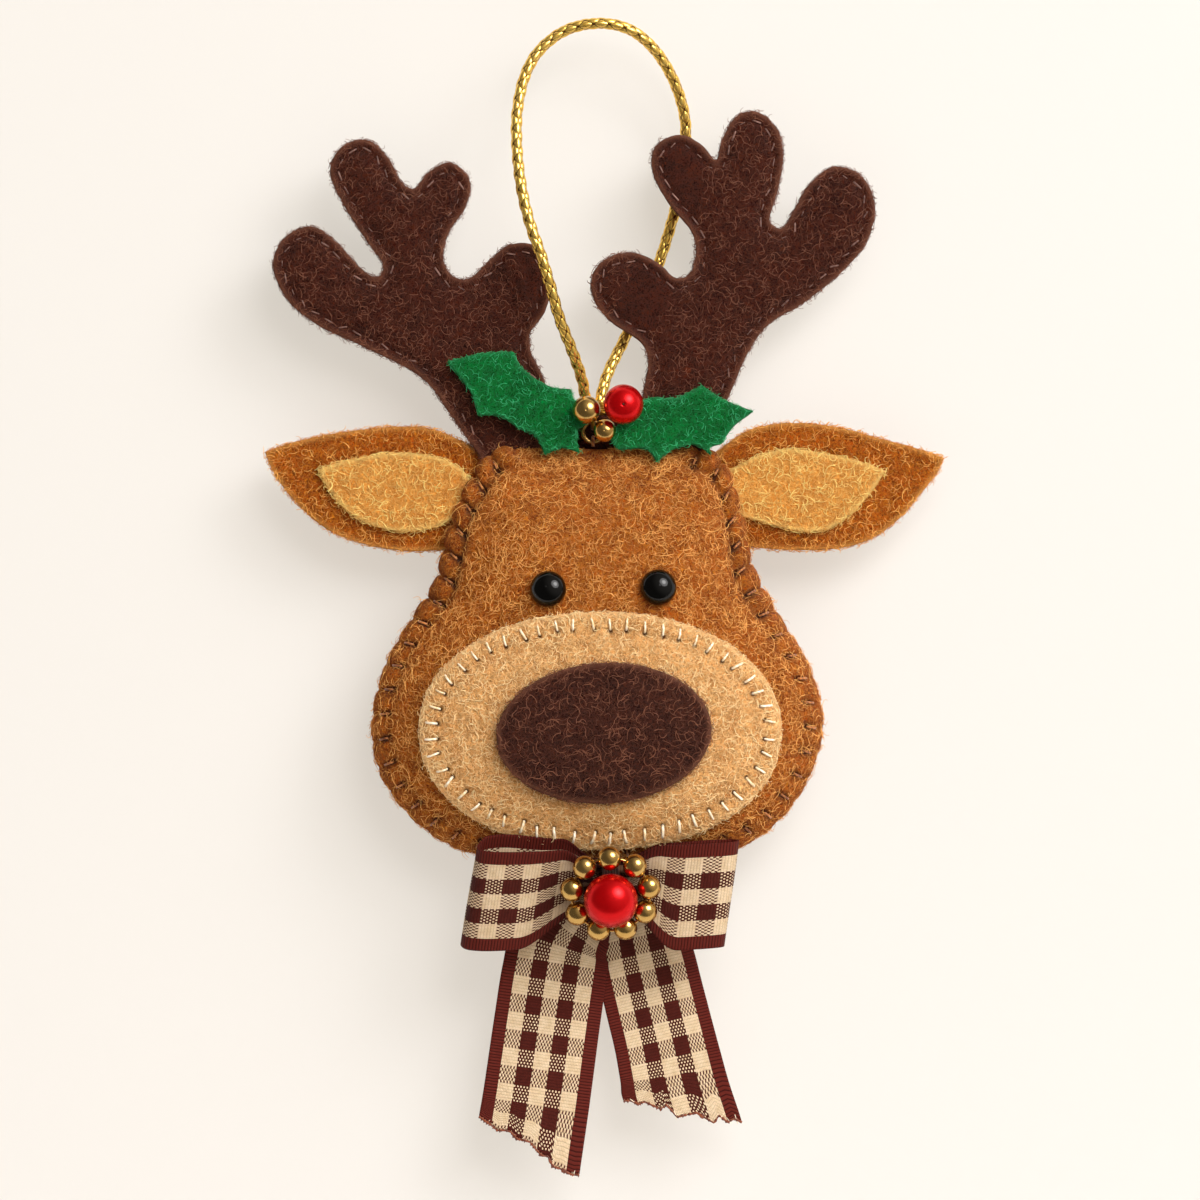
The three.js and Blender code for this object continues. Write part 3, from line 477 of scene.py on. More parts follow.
class Growth(Graph):
    """A geometry node tree with a geometry in, a geometry out and named inputs."""

    def __init__(self, name: str, **inputs: str) -> None:
        """Starts the tree with an input of each name and kind."""
        super().__init__(bpy.data.node_groups.new(name, "GeometryNodeTree"))
        self.keys = {}
        for label, kind in {"Geometry": "Geometry", **inputs, "Material": "Material"}.items():
            socket = self.tree.interface.new_socket(label, in_out="INPUT", socket_type="NodeSocket" + kind)
            self.keys[label] = socket.identifier
        self.tree.interface.new_socket("Geometry", in_out="OUTPUT", socket_type="NodeSocketGeometry")
        self.given = {s.name: s for s in self.put("NodeGroupInput").outputs if s.name}

    def bezier(self, steps: object, *points: object) -> Socket:
        """Returns a curve of some steps from its start, its two handles and its end."""
        ends = dict(zip(("Start", "Start Handle", "End Handle", "End"), points))
        return self.put("GeometryNodeCurvePrimitiveBezierSegment", {"Resolution": steps, **ends},
                        mode="POSITION").outputs[0]

    def rod(self, curve: Socket, sides: int) -> bpy.types.Node:
        """Gives a curve the body of a thread, with the given radius."""
        ring = self.put("GeometryNodeCurvePrimitiveCircle", {"Resolution": sides, "Radius": self.given["Radius"]})
        return self.put("GeometryNodeCurveToMesh",
                        {"Curve": curve, "Profile Curve": ring.outputs[0], "Fill Caps": True})

    def chance(self, kind: str, low: object, high: object, seed: object) -> Socket:
        """Returns a random value from low to high, of the kind FLOAT_VECTOR, FLOAT or INT."""
        place = ("FLOAT_VECTOR", "FLOAT", "INT").index(kind)
        inputs = {2 * place: low, 2 * place + 1: high, "Seed": seed}
        return self.put("FunctionNodeRandomValue", inputs, data_type=kind).outputs[place]

    def toned(self, instances: Socket, seed: object) -> Socket:
        """Gives each instance a random tone from 0 to 1 for its finish to read."""
        tone = self.chance("FLOAT", 0.0, 1.0, seed)
        return self.put("GeometryNodeStoreNamedAttribute", {"Geometry": instances, "Name": "tone", "Value": tone},
                        data_type="FLOAT", domain="INSTANCE").outputs[0]

    def end(self, geometry: Socket) -> None:
        """Ends the tree: instances become real and get their material."""
        real = self.put("GeometryNodeRealizeInstances", {0: geometry})
        dressed = self.put("GeometryNodeSetMaterial",
                           {"Geometry": real.outputs[0], "Material": self.given["Material"]})
        shaded = self.put("GeometryNodeSetShadeSmooth", {"Geometry": dressed.outputs[0]})
        self.put("NodeGroupOutput", {0: shaded.outputs[0]})

    def grow(self, name: str, source: bpy.types.Object, **values: object) -> bpy.types.Object:
        """Runs the tree on an object and keeps the result as a plain mesh.

        Args:
            name: the new piece's name.
            source: the object that the tree reads; it is removed afterwards.
            values: the inputs by name.

        Returns:
            The new piece, without a modifier.
        """
        modifier = source.modifiers.new(self.tree.name, "NODES")
        modifier.node_group = self.tree
        for label, value in values.items():
            modifier[self.keys[label]] = value
        graph = bpy.context.evaluated_depsgraph_get()
        graph.update()
        mesh = bpy.data.meshes.new_from_object(source.evaluated_get(graph), preserve_all_data_layers=True,
                                               depsgraph=graph)
        mesh.name = name
        piece = linked(name, mesh)
        bpy.data.objects.remove(source, do_unlink=True)
        return piece


class Fibres(Growth):
    """Loose wool fibres that stand on and lie over a felt surface."""

    BENDS = (
        ((-0.5, 0.0, 0.0), (-0.2, 0.1, 0.1), (0.25, 0.12, 0.1), (0.5, 0.0, 0.01)),
        ((-0.5, 0.08, 0.0), (-0.2, -0.16, 0.1), (0.2, -0.14, 0.12), (0.5, 0.1, 0.01)),
        ((-0.5, -0.08, 0.0), (-0.1, 0.24, 0.1), (0.1, -0.24, 0.1), (0.5, 0.08, 0.01)),
        ((-0.4, -0.2, 0.0), (0.4, -0.42, 0.14), (0.56, 0.3, 0.16), (0.05, 0.34, 0.06)),
        ((-0.5, 0.05, 0.0), (-0.1, -0.3, 0.12), (0.3, -0.1, 0.18), (0.45, 0.2, 0.2)),
        ((-0.2, 0.0, 0.0), (0.1, 0.3, 0.24), (0.3, 0.2, 0.34), (0.35, -0.1, 0.42)),
    )

    def __init__(self) -> None:
        """Builds the tree once for all felt pieces."""
        super().__init__("loose wool fibres", Fibres="Float", Length="Float", Radius="Float", Steps="Int", Seed="Int")
        given, seed = self.given, self.given["Seed"]
        weight = self.put("GeometryNodeInputNamedAttribute", {"Name": "nap"}, data_type="FLOAT")
        spread = self.put("GeometryNodeDistributePointsOnFaces", {
            "Mesh": given["Geometry"], "Seed": seed,
            "Density": self.calc("MULTIPLY", given["Fibres"], weight.outputs[0]),
        })
        shapes = self.put("GeometryNodeJoinGeometry")
        for points in self.BENDS:
            whole = self.put("ShaderNodeCombineXYZ", {i: given["Length"] for i in range(3)})
            sized = self.put("GeometryNodeTransform", {"Geometry": self.bezier(given["Steps"], *points),
                                                       "Scale": whole.outputs[0]})
            along = self.put("GeometryNodeSplineParameter").outputs["Factor"]
            taper = self.put("ShaderNodeMapRange", {"Value": along, 3: 1.0, 4: 0.45}).outputs[0]
            thick = self.put("GeometryNodeSetCurveRadius", {"Curve": sized.outputs[0], "Radius": taper})
            body = self.rod(thick.outputs[0], 3)
            if "Scale" in body.inputs:
                self.tree.links.new(taper, body.inputs["Scale"])
            single = self.put("GeometryNodeGeometryToInstance", {0: body.outputs[0]})
            self.tree.links.new(single.outputs[0], shapes.inputs[0])
        stood = self.put("GeometryNodeInstanceOnPoints", {
            "Points": spread.outputs["Points"], "Instance": shapes.outputs[0], "Pick Instance": True,
            "Instance Index": self.chance("INT", 0, len(self.BENDS) - 1, seed), "Rotation": spread.outputs["Rotation"],
        })
        spin = self.chance("FLOAT_VECTOR", (-0.25, -0.25, 0.0), (0.25, 0.25, TAU), seed)
        turned = self.put("GeometryNodeRotateInstances",
                          {"Instances": stood.outputs[0], "Rotation": spin, "Local Space": True})
        scaled = self.put("GeometryNodeScaleInstances",
                          {"Instances": turned.outputs[0], "Scale": self.chance("FLOAT", 0.45, 1.35, seed)})
        self.end(self.toned(scaled.outputs[0], seed))

    def on(self, felt: bpy.types.Object, name: str, slot: str, per_mm2: float, length: float,
           material: bpy.types.Material, seed: int, radius: float = 0.05, steps: int = 4) -> None:
        """Grows fibres on a felt piece.

        Args:
            felt: the piece; it needs a point value named nap, from 0 for bare to 1.
            name: the fibres' name.
            slot: the slot of their finish.
            per_mm2: fibres per square millimetre.
            length: a fibre's span in millimetres.
            material: the fibre's finish.
            seed: the random seed.
            radius: a fibre's radius in millimetres. Real wool is 0.01 mm, too fine to show in the picture.
            steps: straight pieces in a fibre.
        """
        source = linked(felt.name + "_bare", felt.data.copy())
        piece = self.grow(felt.name + "_fibres", source, Fibres=per_mm2 / MM**2, Length=length * MM,
                          Radius=radius * MM, Steps=steps, Seed=seed, Material=material)
        piece.name = name
        dress(piece, Body.ORNAMENT, slot)


class Stitches(Growth):
    """Thread stitches: one bowed length of thread at each point of a row."""

    def __init__(self) -> None:
        """Builds the tree once for all rows of stitches."""
        super().__init__("row of stitches", Length="Float", Rise="Float", Radius="Float", Sink="Float")
        half = self.calc("MULTIPLY", self.given["Length"], 0.5)
        back = self.calc("MULTIPLY", half, -1.0)
        low = self.calc("MULTIPLY", self.given["Sink"], -1.0)
        points = [self.put("ShaderNodeCombineXYZ", {0: x, 2: z}).outputs[0] for x, z in (
            (back, low), (back, self.given["Rise"]), (half, self.given["Rise"]), (half, low))]
        body = self.rod(self.bezier(9, *points), 7)
        turn, size = (self.put("GeometryNodeInputNamedAttribute", {"Name": name}, data_type=kind).outputs[0]
                      for name, kind in (("turn", "FLOAT_VECTOR"), ("size", "FLOAT")))
        spin = self.put("FunctionNodeEulerToRotation", {0: turn})
        dots = self.put("GeometryNodeMeshToPoints", {"Mesh": self.given["Geometry"]})
        laid = self.put("GeometryNodeInstanceOnPoints", {
            "Points": dots.outputs[0], "Instance": body.outputs[0], "Rotation": spin.outputs[0], "Scale": size,
        })
        self.end(self.toned(laid.outputs[0], 5))

    def row(self, name: str, slot: str, places: Array, along: Array, up: Array, length: float, radius: float,
            rise: float, sink: float, material: bpy.types.Material, sizes: Array) -> None:
        """Lays a row of stitches.

        Args:
            name: the piece's name.
            slot: the slot of its finish.
            places: the middle of each stitch in millimetres.
            along: the direction of each stitch.
            up: the direction out of the cloth at each stitch.
            length: a stitch's length in millimetres.
            radius: the thread's radius in millimetres.
            rise: how high its arms stand over the cloth in millimetres.
            sink: how deep its ends go into the cloth in millimetres.
            material: the thread's finish.
            sizes: a scale for each stitch.
        """
        turns = []
        for a, n in zip(along, up):
            z = Vector(n).normalized()
            x = (Vector(a) - z * Vector(a).dot(z)).normalized()
            turns.append(list(Matrix((x, z.cross(x), z)).transposed().to_euler()))
        mesh = bpy.data.meshes.new(name)
        mesh.from_pydata((np.asarray(places, float) * MM).tolist(), [], [])
        turn = mesh.attributes.new("turn", "FLOAT_VECTOR", "POINT")
        turn.data.foreach_set("vector", np.array(turns).ravel())
        source = linked(name, mesh)
        add_value(source, "size", sizes)
        dress(self.grow(name, source, Length=length * MM, Rise=rise * MM, Radius=radius * MM, Sink=sink * MM,
                        Material=material), Body.ORNAMENT, slot)


# Finishes


class Surface(Graph):
    """A material's tree, with what a surface is made of."""

    def __init__(self, name: str) -> None:
        """Starts a material with an empty tree."""
        self.material = bpy.data.materials.new(name)
        self.material.use_nodes = True
        super().__init__(self.material.node_tree)
        self.tree.nodes.clear()
        self.out = self.put("ShaderNodeOutputMaterial").inputs[0]

    @property
    def place(self) -> Socket:
        """Returns the object's own coordinates."""
        return self.put("ShaderNodeTexCoord").outputs["Object"]

    def noise(self, millimetres: float, detail: float, **more: object) -> Socket:
        """Returns a noise with patches of that size."""
        return self.put("ShaderNodeTexNoise", {
            "Vector": self.place, "Scale": 1 / (millimetres * MM), "Detail": detail, **more}).outputs["Fac"]

    def value(self, name: str) -> Socket:
        """Returns the number that each point carries under a name."""
        return self.put("ShaderNodeAttribute", attribute_name=name).outputs["Fac"]

    def relief(self, height: Socket, strength: float, millimetres: float) -> Socket:
        """Returns the normals of a surface with that relief."""
        return self.put("ShaderNodeBump",
                        {"Height": height, "Strength": strength, "Distance": millimetres * MM}).outputs[0]

    def close(self, shader: Socket) -> bpy.types.Material:
        """Ends the tree with a shader and returns the material."""
        self.tree.links.new(shader, self.out)
        return self.material

    def coat(self, colour: Socket, roughness: object, **more: object) -> bpy.types.Material:
        """Ends the tree with a plain surface; its other inputs have an underscore for each space."""
        inputs = {name.replace("_", " "): value for name, value in more.items()}
        return self.close(self.put("ShaderNodeBsdfPrincipled",
                                   {"Base Color": colour, "Roughness": roughness, **inputs}).outputs[0])


@dataclass(frozen=True)
class FeltFinish:
    """Pressed wool felt: matt, with curly fibres that show as fine light lines over hollows darkened with painted
    shade.
    """

    name: str
    deep: str
    middle: str
    light: str
    fibre: str
    shadow: str
    seed: int

    def surface(self) -> bpy.types.Material:
        """Builds the felt's own surface. Points may carry two values, read by name below: a painted shade for pits,
        seams and hollows, and a share by which the felt grows paler towards the cut edge.

        Returns:
            The material.
        """
        felt = Surface(f"{self.name} wool felt")
        # Layers of curled fibres: the lines where a noise passes its middle value, 0.4 to 1 mm apart
        lines = []
        for k, (millimetres, width) in enumerate(((1.0, 0.042), (0.7, 0.050), (0.46, 0.055))):
            shift = felt.put("ShaderNodeMapping", {
                "Vector": felt.place, "Location": (0.37 * k + self.seed, 0.61 * k, 0.83 * k)})
            grain = felt.noise(millimetres, 1.2, Vector=shift.outputs[0], Distortion=1.5)
            away = felt.calc("ABSOLUTE", felt.calc("SUBTRACT", grain, 0.5))
            lines.append(felt.remap(away, 0.0, width, 1.0, 0.0))
        fibres = felt.calc("MAXIMUM", felt.calc("MAXIMUM", *lines[:2]), felt.calc("MULTIPLY", lines[2], 0.7))
        # Clumps of wool 3 mm across, and hollows between the fibres 0.4 mm across, which get painted shade
        clumps, pits = (felt.noise(size, detail, Roughness=0.65) for size, detail in ((3.0, 4.0), (0.42, 1.0)))
        colour = felt.mix(felt.remap(clumps, 0.3, 0.6), self.deep, self.middle)
        # Painted shade: the low parts of the pit noise, which the bump sinks, darken towards the deep tone
        colour = felt.mix(felt.remap(pits, 0.36, 0.55, 0.9, 0.0), colour, self.deep)
        colour = felt.mix(felt.calc("MULTIPLY", fibres, 0.7), colour, self.light)
        # The felt grows paler towards the cut edge
        colour = felt.mix(felt.value("rubbed"), colour, self.fibre)
        # Painted shade at the pits, seams and hollows, from the value that each point carries
        colour = felt.mix(felt.value("hollow"), colour, self.shadow)
        return felt.coat(colour, 0.95, Normal=felt.relief(felt.calc("ADD", pits, fibres), 0.9, 0.2),
                         Specular_IOR_Level=0.08, Sheen_Weight=0.05, Sheen_Roughness=0.45)

    def loose_fibre(self) -> bpy.types.Material:
        """Builds the finish of single fibres, which vary from the felt's middle tone to a light one."""
        wool = Surface(f"{self.name} loose wool")
        pale = wool.calc("POWER", wool.value("tone"), 1.4)
        return wool.coat(wool.mix(pale, self.middle, self.fibre), 0.8, Specular_IOR_Level=0.12)


@dataclass(frozen=True)
class ThreadFinish:
    """Twisted sewing thread with a soft sheen, its colour painted darker between its plies as painted shade and
    lighter on them as a painted highlight.
    """

    name: str
    dark: str
    light: str
    roughness: float = 0.42
    metallic: float = 0.0

    def surface(self) -> bpy.types.Material:
        """Builds the thread's surface, with plies 0.25 mm apart.

        Returns:
            The material.
        """
        thread = Surface(f"{self.name} twisted thread")
        plies = thread.put("ShaderNodeTexWave", {
            "Vector": thread.place, "Scale": 0.16 / (0.25 * MM), "Distortion": 1.5, "Detail": 1.0,
        }, bands_direction="DIAGONAL").outputs["Fac"]
        # Painted shade between the plies and a painted highlight on them, mixed with each stitch's own tone
        half = thread.calc("MULTIPLY", thread.calc("ADD", plies, thread.value("tone")), 0.5)
        return thread.coat(thread.mix(half, self.dark, self.light), self.roughness, Metallic=self.metallic,
                           Normal=thread.relief(plies, 0.5, 0.04), Sheen_Weight=0.15)


@dataclass(frozen=True)
class BraidFinish:
    """Metallised film braided round a core: bright facets, with painted shade in the lines where the strands dive."""

    name: str = "gold braid"
    film: tuple[str, str] = ("f0b02a", "ffe486")
    hollow: str = "5c3008"

    def surface(self) -> bpy.types.Material:
        """Builds the braid's surface from the height that each point has in the braid.

        Returns:
            The material.
        """
        braid = Surface(f"{self.name} metallised film")
        wear = braid.noise(0.7, 3.0)
        # Painted shade in the grooves where the strands dive
        open_part = braid.remap(braid.value("braid"), 0.22, 0.46)
        colour = braid.mix(open_part, self.hollow, braid.mix(wear, *self.film))
        return braid.coat(colour, 0.2, Metallic=0.85, Specular_IOR_Level=0.8, Normal=braid.relief(wear, 0.12, 0.05))


@dataclass(frozen=True)
class PlatedFinish:
    """Gold-plated plastic or brass: near a mirror, with a faint unevenness from the moulding."""

    name: str = "gold-plated"
    tints: tuple[str, str] = ("c6984e", "dab672")
    roughness: float = 0.2

    def surface(self) -> bpy.types.Material:
        """Builds the plated surface.

        Returns:
            The material.
        """
        metal = Surface(f"{self.name} bead metal")
        grain = metal.noise(1.6, 4.0)
        rough = metal.remap(grain, 0.0, 1.0, self.roughness - 0.03, self.roughness + 0.03)
        return metal.coat(metal.mix(grain, *self.tints), rough, Metallic=1.0, Normal=metal.relief(grain, 0.04, 0.05))


@dataclass(frozen=True)
class PearlFinish:
    """Pearl lacquer on a plastic bead: a deep colour with fine mica."""

    name: str
    deep: str
    glow: str
    roughness: float
    metallic: float
    specular: float

    def surface(self) -> bpy.types.Material:
        """Builds the lacquered surface with mica flakes 0.1 mm apart.

        Returns:
            The material.
        """
        pearl = Surface(f"{self.name} pearl lacquer")
        colour = pearl.mix(pearl.noise(2.5, 3.0), self.deep, self.glow)
        return pearl.coat(colour, self.roughness, Metallic=self.metallic, Specular_IOR_Level=self.specular,
                          Normal=pearl.relief(pearl.noise(0.1, 1.0), 0.06, 0.02))


@dataclass(frozen=True)
class GinghamFinish:
    """Plain-woven gingham ribbon: threads show one by one, and the selvedges are ribbed and dark."""

    width: float = 15.9
    selvedge: float = 2.0
    stripes: int = 5
    row: float = 2.7
    threads: tuple[int, int] = (10, 6)
    dark: tuple[str, str] = ("40160f", "5a2018")
    pale: tuple[str, str] = ("d0b084", "f8e4c6")

    def surface(self) -> bpy.types.Material:
        """Builds the weave on the ribbon's flat coordinates.

        Returns:
            The material.
        """
        cloth = Surface("gingham woven ribbon")
        calc = cloth.calc
        flat = cloth.put("ShaderNodeUVMap", uv_map="flat")
        x, y = cloth.put("ShaderNodeSeparateXYZ", {0: flat.outputs[0]}).outputs[:2]
        stripe = (self.width - 2 * self.selvedge) / self.stripes
        odd, cell, middle = [], [], []
        for socket, start, band, count in ((x, self.selvedge, stripe, self.threads[0]),
                                           (y, 0.0, self.row, self.threads[1])):
            bands = calc("MULTIPLY_ADD", socket, 1 / (band * MM), -start / band)
            odd.append(calc("FLOORED_MODULO", calc("FLOOR", bands), 2.0))
            fine = calc("MULTIPLY", bands, float(count))
            cell.append(calc("FLOOR", fine))
            middle.append(calc("SUBTRACT", calc("FRACT", fine), 0.5))
        # The selvedge lies outside the stripes on either side
        off = calc("ABSOLUTE", calc("MULTIPLY_ADD", x, 1 / MM, -self.width / 2))
        edge = calc("GREATER_THAN", off, self.width / 2 - self.selvedge)
        dark_warp = calc("MAXIMUM", odd[0], edge)
        weft_over = calc("FLOORED_MODULO", calc("ADD", *cell), 2.0)
        # Weft shows as short dots between the tight dark warp, and as slanting dashes in the loose pale warp
        lean = calc("MULTIPLY", calc("MULTIPLY_ADD", calc("FLOORED_MODULO", cell[1], 2.0), 1.1, -0.55), middle[1])

        def window(across: Socket, half: float, high: float) -> Socket:
            """Returns 1 in the part of a crossing where the weft shows."""
            return calc("MULTIPLY", calc("LESS_THAN", calc("ABSOLUTE", across), half),
                        calc("LESS_THAN", calc("ABSOLUTE", middle[1]), high))

        shows = cloth.pick(dark_warp, window(calc("ADD", middle[0], lean), 0.44, 0.47), window(middle[0], 0.45, 0.3))
        weft = calc("MULTIPLY", calc("MULTIPLY", shows, weft_over), calc("SUBTRACT", 1.0, edge))
        wear = cloth.noise(0.9, 4.0)
        pale, dark = (cloth.mix(wear, *pair) for pair in (self.pale, self.dark))
        colour = cloth.mix(cloth.pick(weft, dark_warp, odd[1]), pale, dark)
        # Threads stand up in the middle and dive at their sides, and painted shade darkens their sides and the gaps
        # between them
        across, along = (calc("MULTIPLY", m, m) for m in middle)
        rib = cloth.pick(edge, calc("MAXIMUM", calc("MULTIPLY", across, 0.9), along), along)
        shade = cloth.remap(rib, 0.08, 0.24, 1.0, 0.58)
        # Selvedges are redder, with deeper painted shade in their ribs, and the gathers by the knot get painted shadow
        deep = calc("MAXIMUM", calc("POWER", shade, calc("MULTIPLY_ADD", edge, 1.9, 1.0)),
                    calc("MULTIPLY", weft, 0.95))
        colour = cloth.mix(1.0, cloth.mix(edge, colour, "5e2018"), deep, "MULTIPLY")
        # Painted shade from the value that each point carries, deepest in the gathers by the knot
        colour = cloth.mix(cloth.value("hollow"), colour, "5a3420", "MULTIPLY")
        return cloth.coat(colour, 0.7, Normal=cloth.relief(calc("MULTIPLY", rib, -4.0), 0.8, 0.1),
                          Specular_IOR_Level=0.12)


FINISHES = {
    "head": FeltFinish("toffee brown", "5e2002", "aa4f0c", "dc8a30", "fcbc6a", "2a0f03", 1),
    "ear": FeltFinish("dark toffee", "5c2200", "ac4c08", "dc8424", "f8b860", "2d0f02", 2),
    "inner_ear": FeltFinish("light tan", "ba6b24", "e89a40", "ffc66c", "ffe890", "5d310f", 3),
    "muzzle": FeltFinish("sand tan", "ac6c34", "f2b26a", "fed492", "ffe6b0", "4d240c", 4),
    "nose": FeltFinish("nut brown", "1c0a06", "3a1b13", "5e3224", "925e48", "120604", 5),
    "antler": FeltFinish("bark brown", "1c0703", "3e160b", "5e2c1b", "8e5c48", "120402", 6),
    "holly": FeltFinish("holly green", "003812", "006424", "058a40", "48c482", "01200c", 7),
    "brown_thread": ThreadFinish("chestnut", "5a260c", "cc8244", 0.35),
    "cream_thread": ThreadFinish("cream", "e2c288", "fffaea", 0.3),
    "dusty_thread": ThreadFinish("dusty rose", "4e2c24", "946c60"),
    "gold_thread": ThreadFinish("gold", "8a5f12", "e0b040", 0.3, 0.8),
    "dark_thread": ThreadFinish("dark brown", "2a120c", "4a2418"),
    "singed_thread": ThreadFinish("red brown", "54200e", "a8562a"),
    "braid": BraidFinish(),
    "plated": PlatedFinish(),
    "red_pearl": PearlFinish("cherry red", "b80006", "e4060e", 0.25, 0.7, 0.5),
    "black_bead": PearlFinish("black", "000000", "010101", 0.09, 0.0, 0.32),
    "gingham": GinghamFinish(),
}


class Workshop:
    """What the pieces are made with: every finish, and the trees that grow naps and lay stitches."""

    def __init__(self) -> None:
        """Builds each of them once."""
        self.materials = {}
        for key, finish in FINISHES.items():
            self.materials[key] = finish.surface()
            if isinstance(finish, FeltFinish):
                self.materials[key + "_fibre"] = finish.loose_fibre()
        self.fibres, self.stitches = Fibres(), Stitches()

    def __getitem__(self, key: str) -> bpy.types.Material:
        """Returns the material with that name."""
        return self.materials[key]

    def lay(self, cut: "FeltCut", finish: str, slot: str, node: str, clumps: tuple[float, float, int],
            nap: Callable[[], Array], fibres: dict[str, tuple],
            move: Optional[Matrix] = None) -> None:
        """Args:
            cut: the cut.
            finish: its finish.
            slot: the slot of its finish.
            node: the node of the model that it replaces.
            clumps: the height and size of its clumps of wool, and their seed.
            nap: gives how much nap each point carries, once the cut is built.
            fibres: by name, the fibres per square millimetre, their length, seed, and radius if not the usual one.
            move: turns and moves the flat piece to its place.
        """
        piece = cut.build(self[finish], move)
        roughen(piece, *clumps)
        add_value(piece, "nap", nap())
        dress(piece, Body.ORNAMENT, slot, node)
        cut.size()
        cut.area()
        for name, (density, length, *rest) in fibres.items():
            self.fibres.on(piece, name, slot, density, length, self[finish + "_fibre"], *rest)


# The room


@dataclass
class Room:
    """Camera, soft lamps, pale wall and floor."""

    across: float = 180.0
    lens: float = 600.0
    sensor: float = 36.0
    middle: float = -85.6
    wall: float = 11.8
    floor: float = -215.0
    half_size: float = 1500.0
    matt_paper: str = "d6d4d4"
    seen_paper: str = "fdf6ea"
    glow_share: float = 0.56
    # Each lamp's place and diameter in millimetres, its power in watts, its colour, and whether polished things
    # mirror it
    lamps: dict = field(default_factory=lambda: {
        "key lamp": ((510, -630, 420), 720, 6.3, "fffdfb", True),
        "front lamp": ((180, -950, 330), 380, 3.7, "fffdfb", False),
        "window lamp": ((500, -616, 410), 320, 2.4, "fffdfb", True),
        "fill lamp": ((60, -900, -300), 1500, 4.7, "fff4e6", False),
        "back lamp": ((250, 700, 300), 500, 6.0, "fff4e6", True),
    })

    def camera(self) -> None:
        """Places the camera straight in front, so that the frame is 180 mm across at the seam."""
        data = bpy.data.cameras.new("camera")
        data.lens, data.sensor_width = self.lens, self.sensor
        data.clip_start, data.clip_end = 0.01, 20.0
        camera = linked("camera", data)
        camera.location = (0.0, -self.across * self.lens / self.sensor * MM, self.middle * MM)
        camera.rotation_euler = (math.pi / 2, 0.0, 0.0)
        bpy.context.scene.camera = camera

    def paper(self, name: str) -> bpy.types.Material:
        """Builds matt paper that is clear from behind, so that it hides nothing in views from there.

        Part of what is seen of it glows by itself, so that it looks pale and keeps a faint shadow. It lets the lamp
        behind it light the ornament's back.

        Args:
            name: the material's name.

        Returns:
            The material.
        """
        paper = Surface(name)
        matt = paper.put("ShaderNodeBsdfDiffuse", {"Color": linear(self.matt_paper)})
        glow = paper.put("ShaderNodeEmission", {"Color": linear(self.seen_paper), "Strength": 1.0})
        rays = paper.put("ShaderNodeLightPath").outputs
        seen = paper.calc("MAXIMUM", paper.calc("MAXIMUM", rays["Is Camera Ray"], rays["Is Glossy Ray"]),
                          rays["Is Transmission Ray"])
        front = paper.put("ShaderNodeMixShader", {0: paper.calc("MULTIPLY", seen, self.glow_share),
                                                  1: matt.outputs[0], 2: glow.outputs[0]})
        face = paper.put("ShaderNodeNewGeometry").outputs["Backfacing"]
        clear = paper.put("ShaderNodeBsdfTransparent")
        return paper.close(paper.put("ShaderNodeMixShader", {
            0: paper.calc("MAXIMUM", face, rays["Is Shadow Ray"]), 1: front.outputs[0], 2: clear.outputs[0],
        }).outputs[0])

    def build(self) -> None:
        """Builds the room."""
        self.camera()
        s, y, z = self.half_size, self.wall, self.floor
        sheets = [mesh_piece(name, points, [[0, 1, 2, 3]], self.paper(f"pale {name} paper"), smooth_shade=False)
                  for name, points in (("wall", [(-s, y, z), (s, y, z), (s, y, s), (-s, y, s)]),
                                       ("floor", [(-s, y, z), (-s, -s / 20, z), (s, -s / 20, z), (s, y, z)]))]
        for name, (place, size, watts, colour, gleams) in self.lamps.items():
            data = bpy.data.lights.new(name, "AREA")
            data.shape = "DISK"
            data.size, data.energy, data.color = size * MM, watts, linear(colour)[:3]
            lamp = linked(name, data)
            lamp.visible_glossy = gleams
            lamp.location = [c * MM for c in place]
            aim = Vector((0, 0, self.middle * MM)) - lamp.location
            lamp.rotation_euler = aim.to_track_quat("-Z", "Y").to_euler()
        world = bpy.data.worlds.new("soft daylight")
        bpy.context.scene.world = world
        world.use_nodes = True
        world.node_tree.nodes.clear()
        # The room is brighter towards a window on the right, which polished beads show as a soft patch
        sky = Graph(world.node_tree)
        way = sky.put("ShaderNodeTexCoord").outputs["Generated"]
        window = sky.put("ShaderNodeVectorMath", {0: way, 1: (0.72, -0.5, 0.48)}, operation="DOT_PRODUCT")
        strength = sky.remap(window.outputs["Value"], 0.2, 0.95, 0.13, 0.55, interpolation_type="SMOOTHSTEP")
        light = sky.put("ShaderNodeBackground", {"Color": linear("fff6ea"), "Strength": strength})
        sky.put("ShaderNodeOutputWorld", {0: light.outputs[0]})
        bpy.context.scene.view_settings.view_transform = "Standard"


# Outlines and routes. Outlines are shares of their own box, across and up; the cord is in millimetres.

CORD_ROUTE = (
    (-2.15, 0, -57.7), (-2.15, 0, -55.9), (-2.7, -1.1, -52.6), (-4.2, -3.5, -48.2), (-6, -5.6, -43.6),
    (-7.5, -6.7, -38.4), (-8.9, -7.1, -33.8), (-10.5, -6.8, -29.2), (-11.7, -5.9, -24.2), (-12.4, -4.6, -18.4),
    (-12.4, -3.1, -12.4), (-11.2, -1.7, -6.9), (-9, -0.7, -3.1), (-5, -0.1, -0.1), (0, 0, 0.9), (4.4, 0.6, 0),
    (8.1, 2.2, -2.9), (11.2, 4.4, -7.9), (12.8, 5.9, -13.6), (12.6, 6.4, -19.6), (11.6, 6.2, -25.6),
    (10.2, 5.9, -30.8), (8.6, 5.4, -35.6), (6.4, 4.7, -40.6), (3.6, 3.4, -46.6), (1.1, 1.5, -51.8),
    (0.05, 0, -55.9), (0.05, 0, -57.7),
)
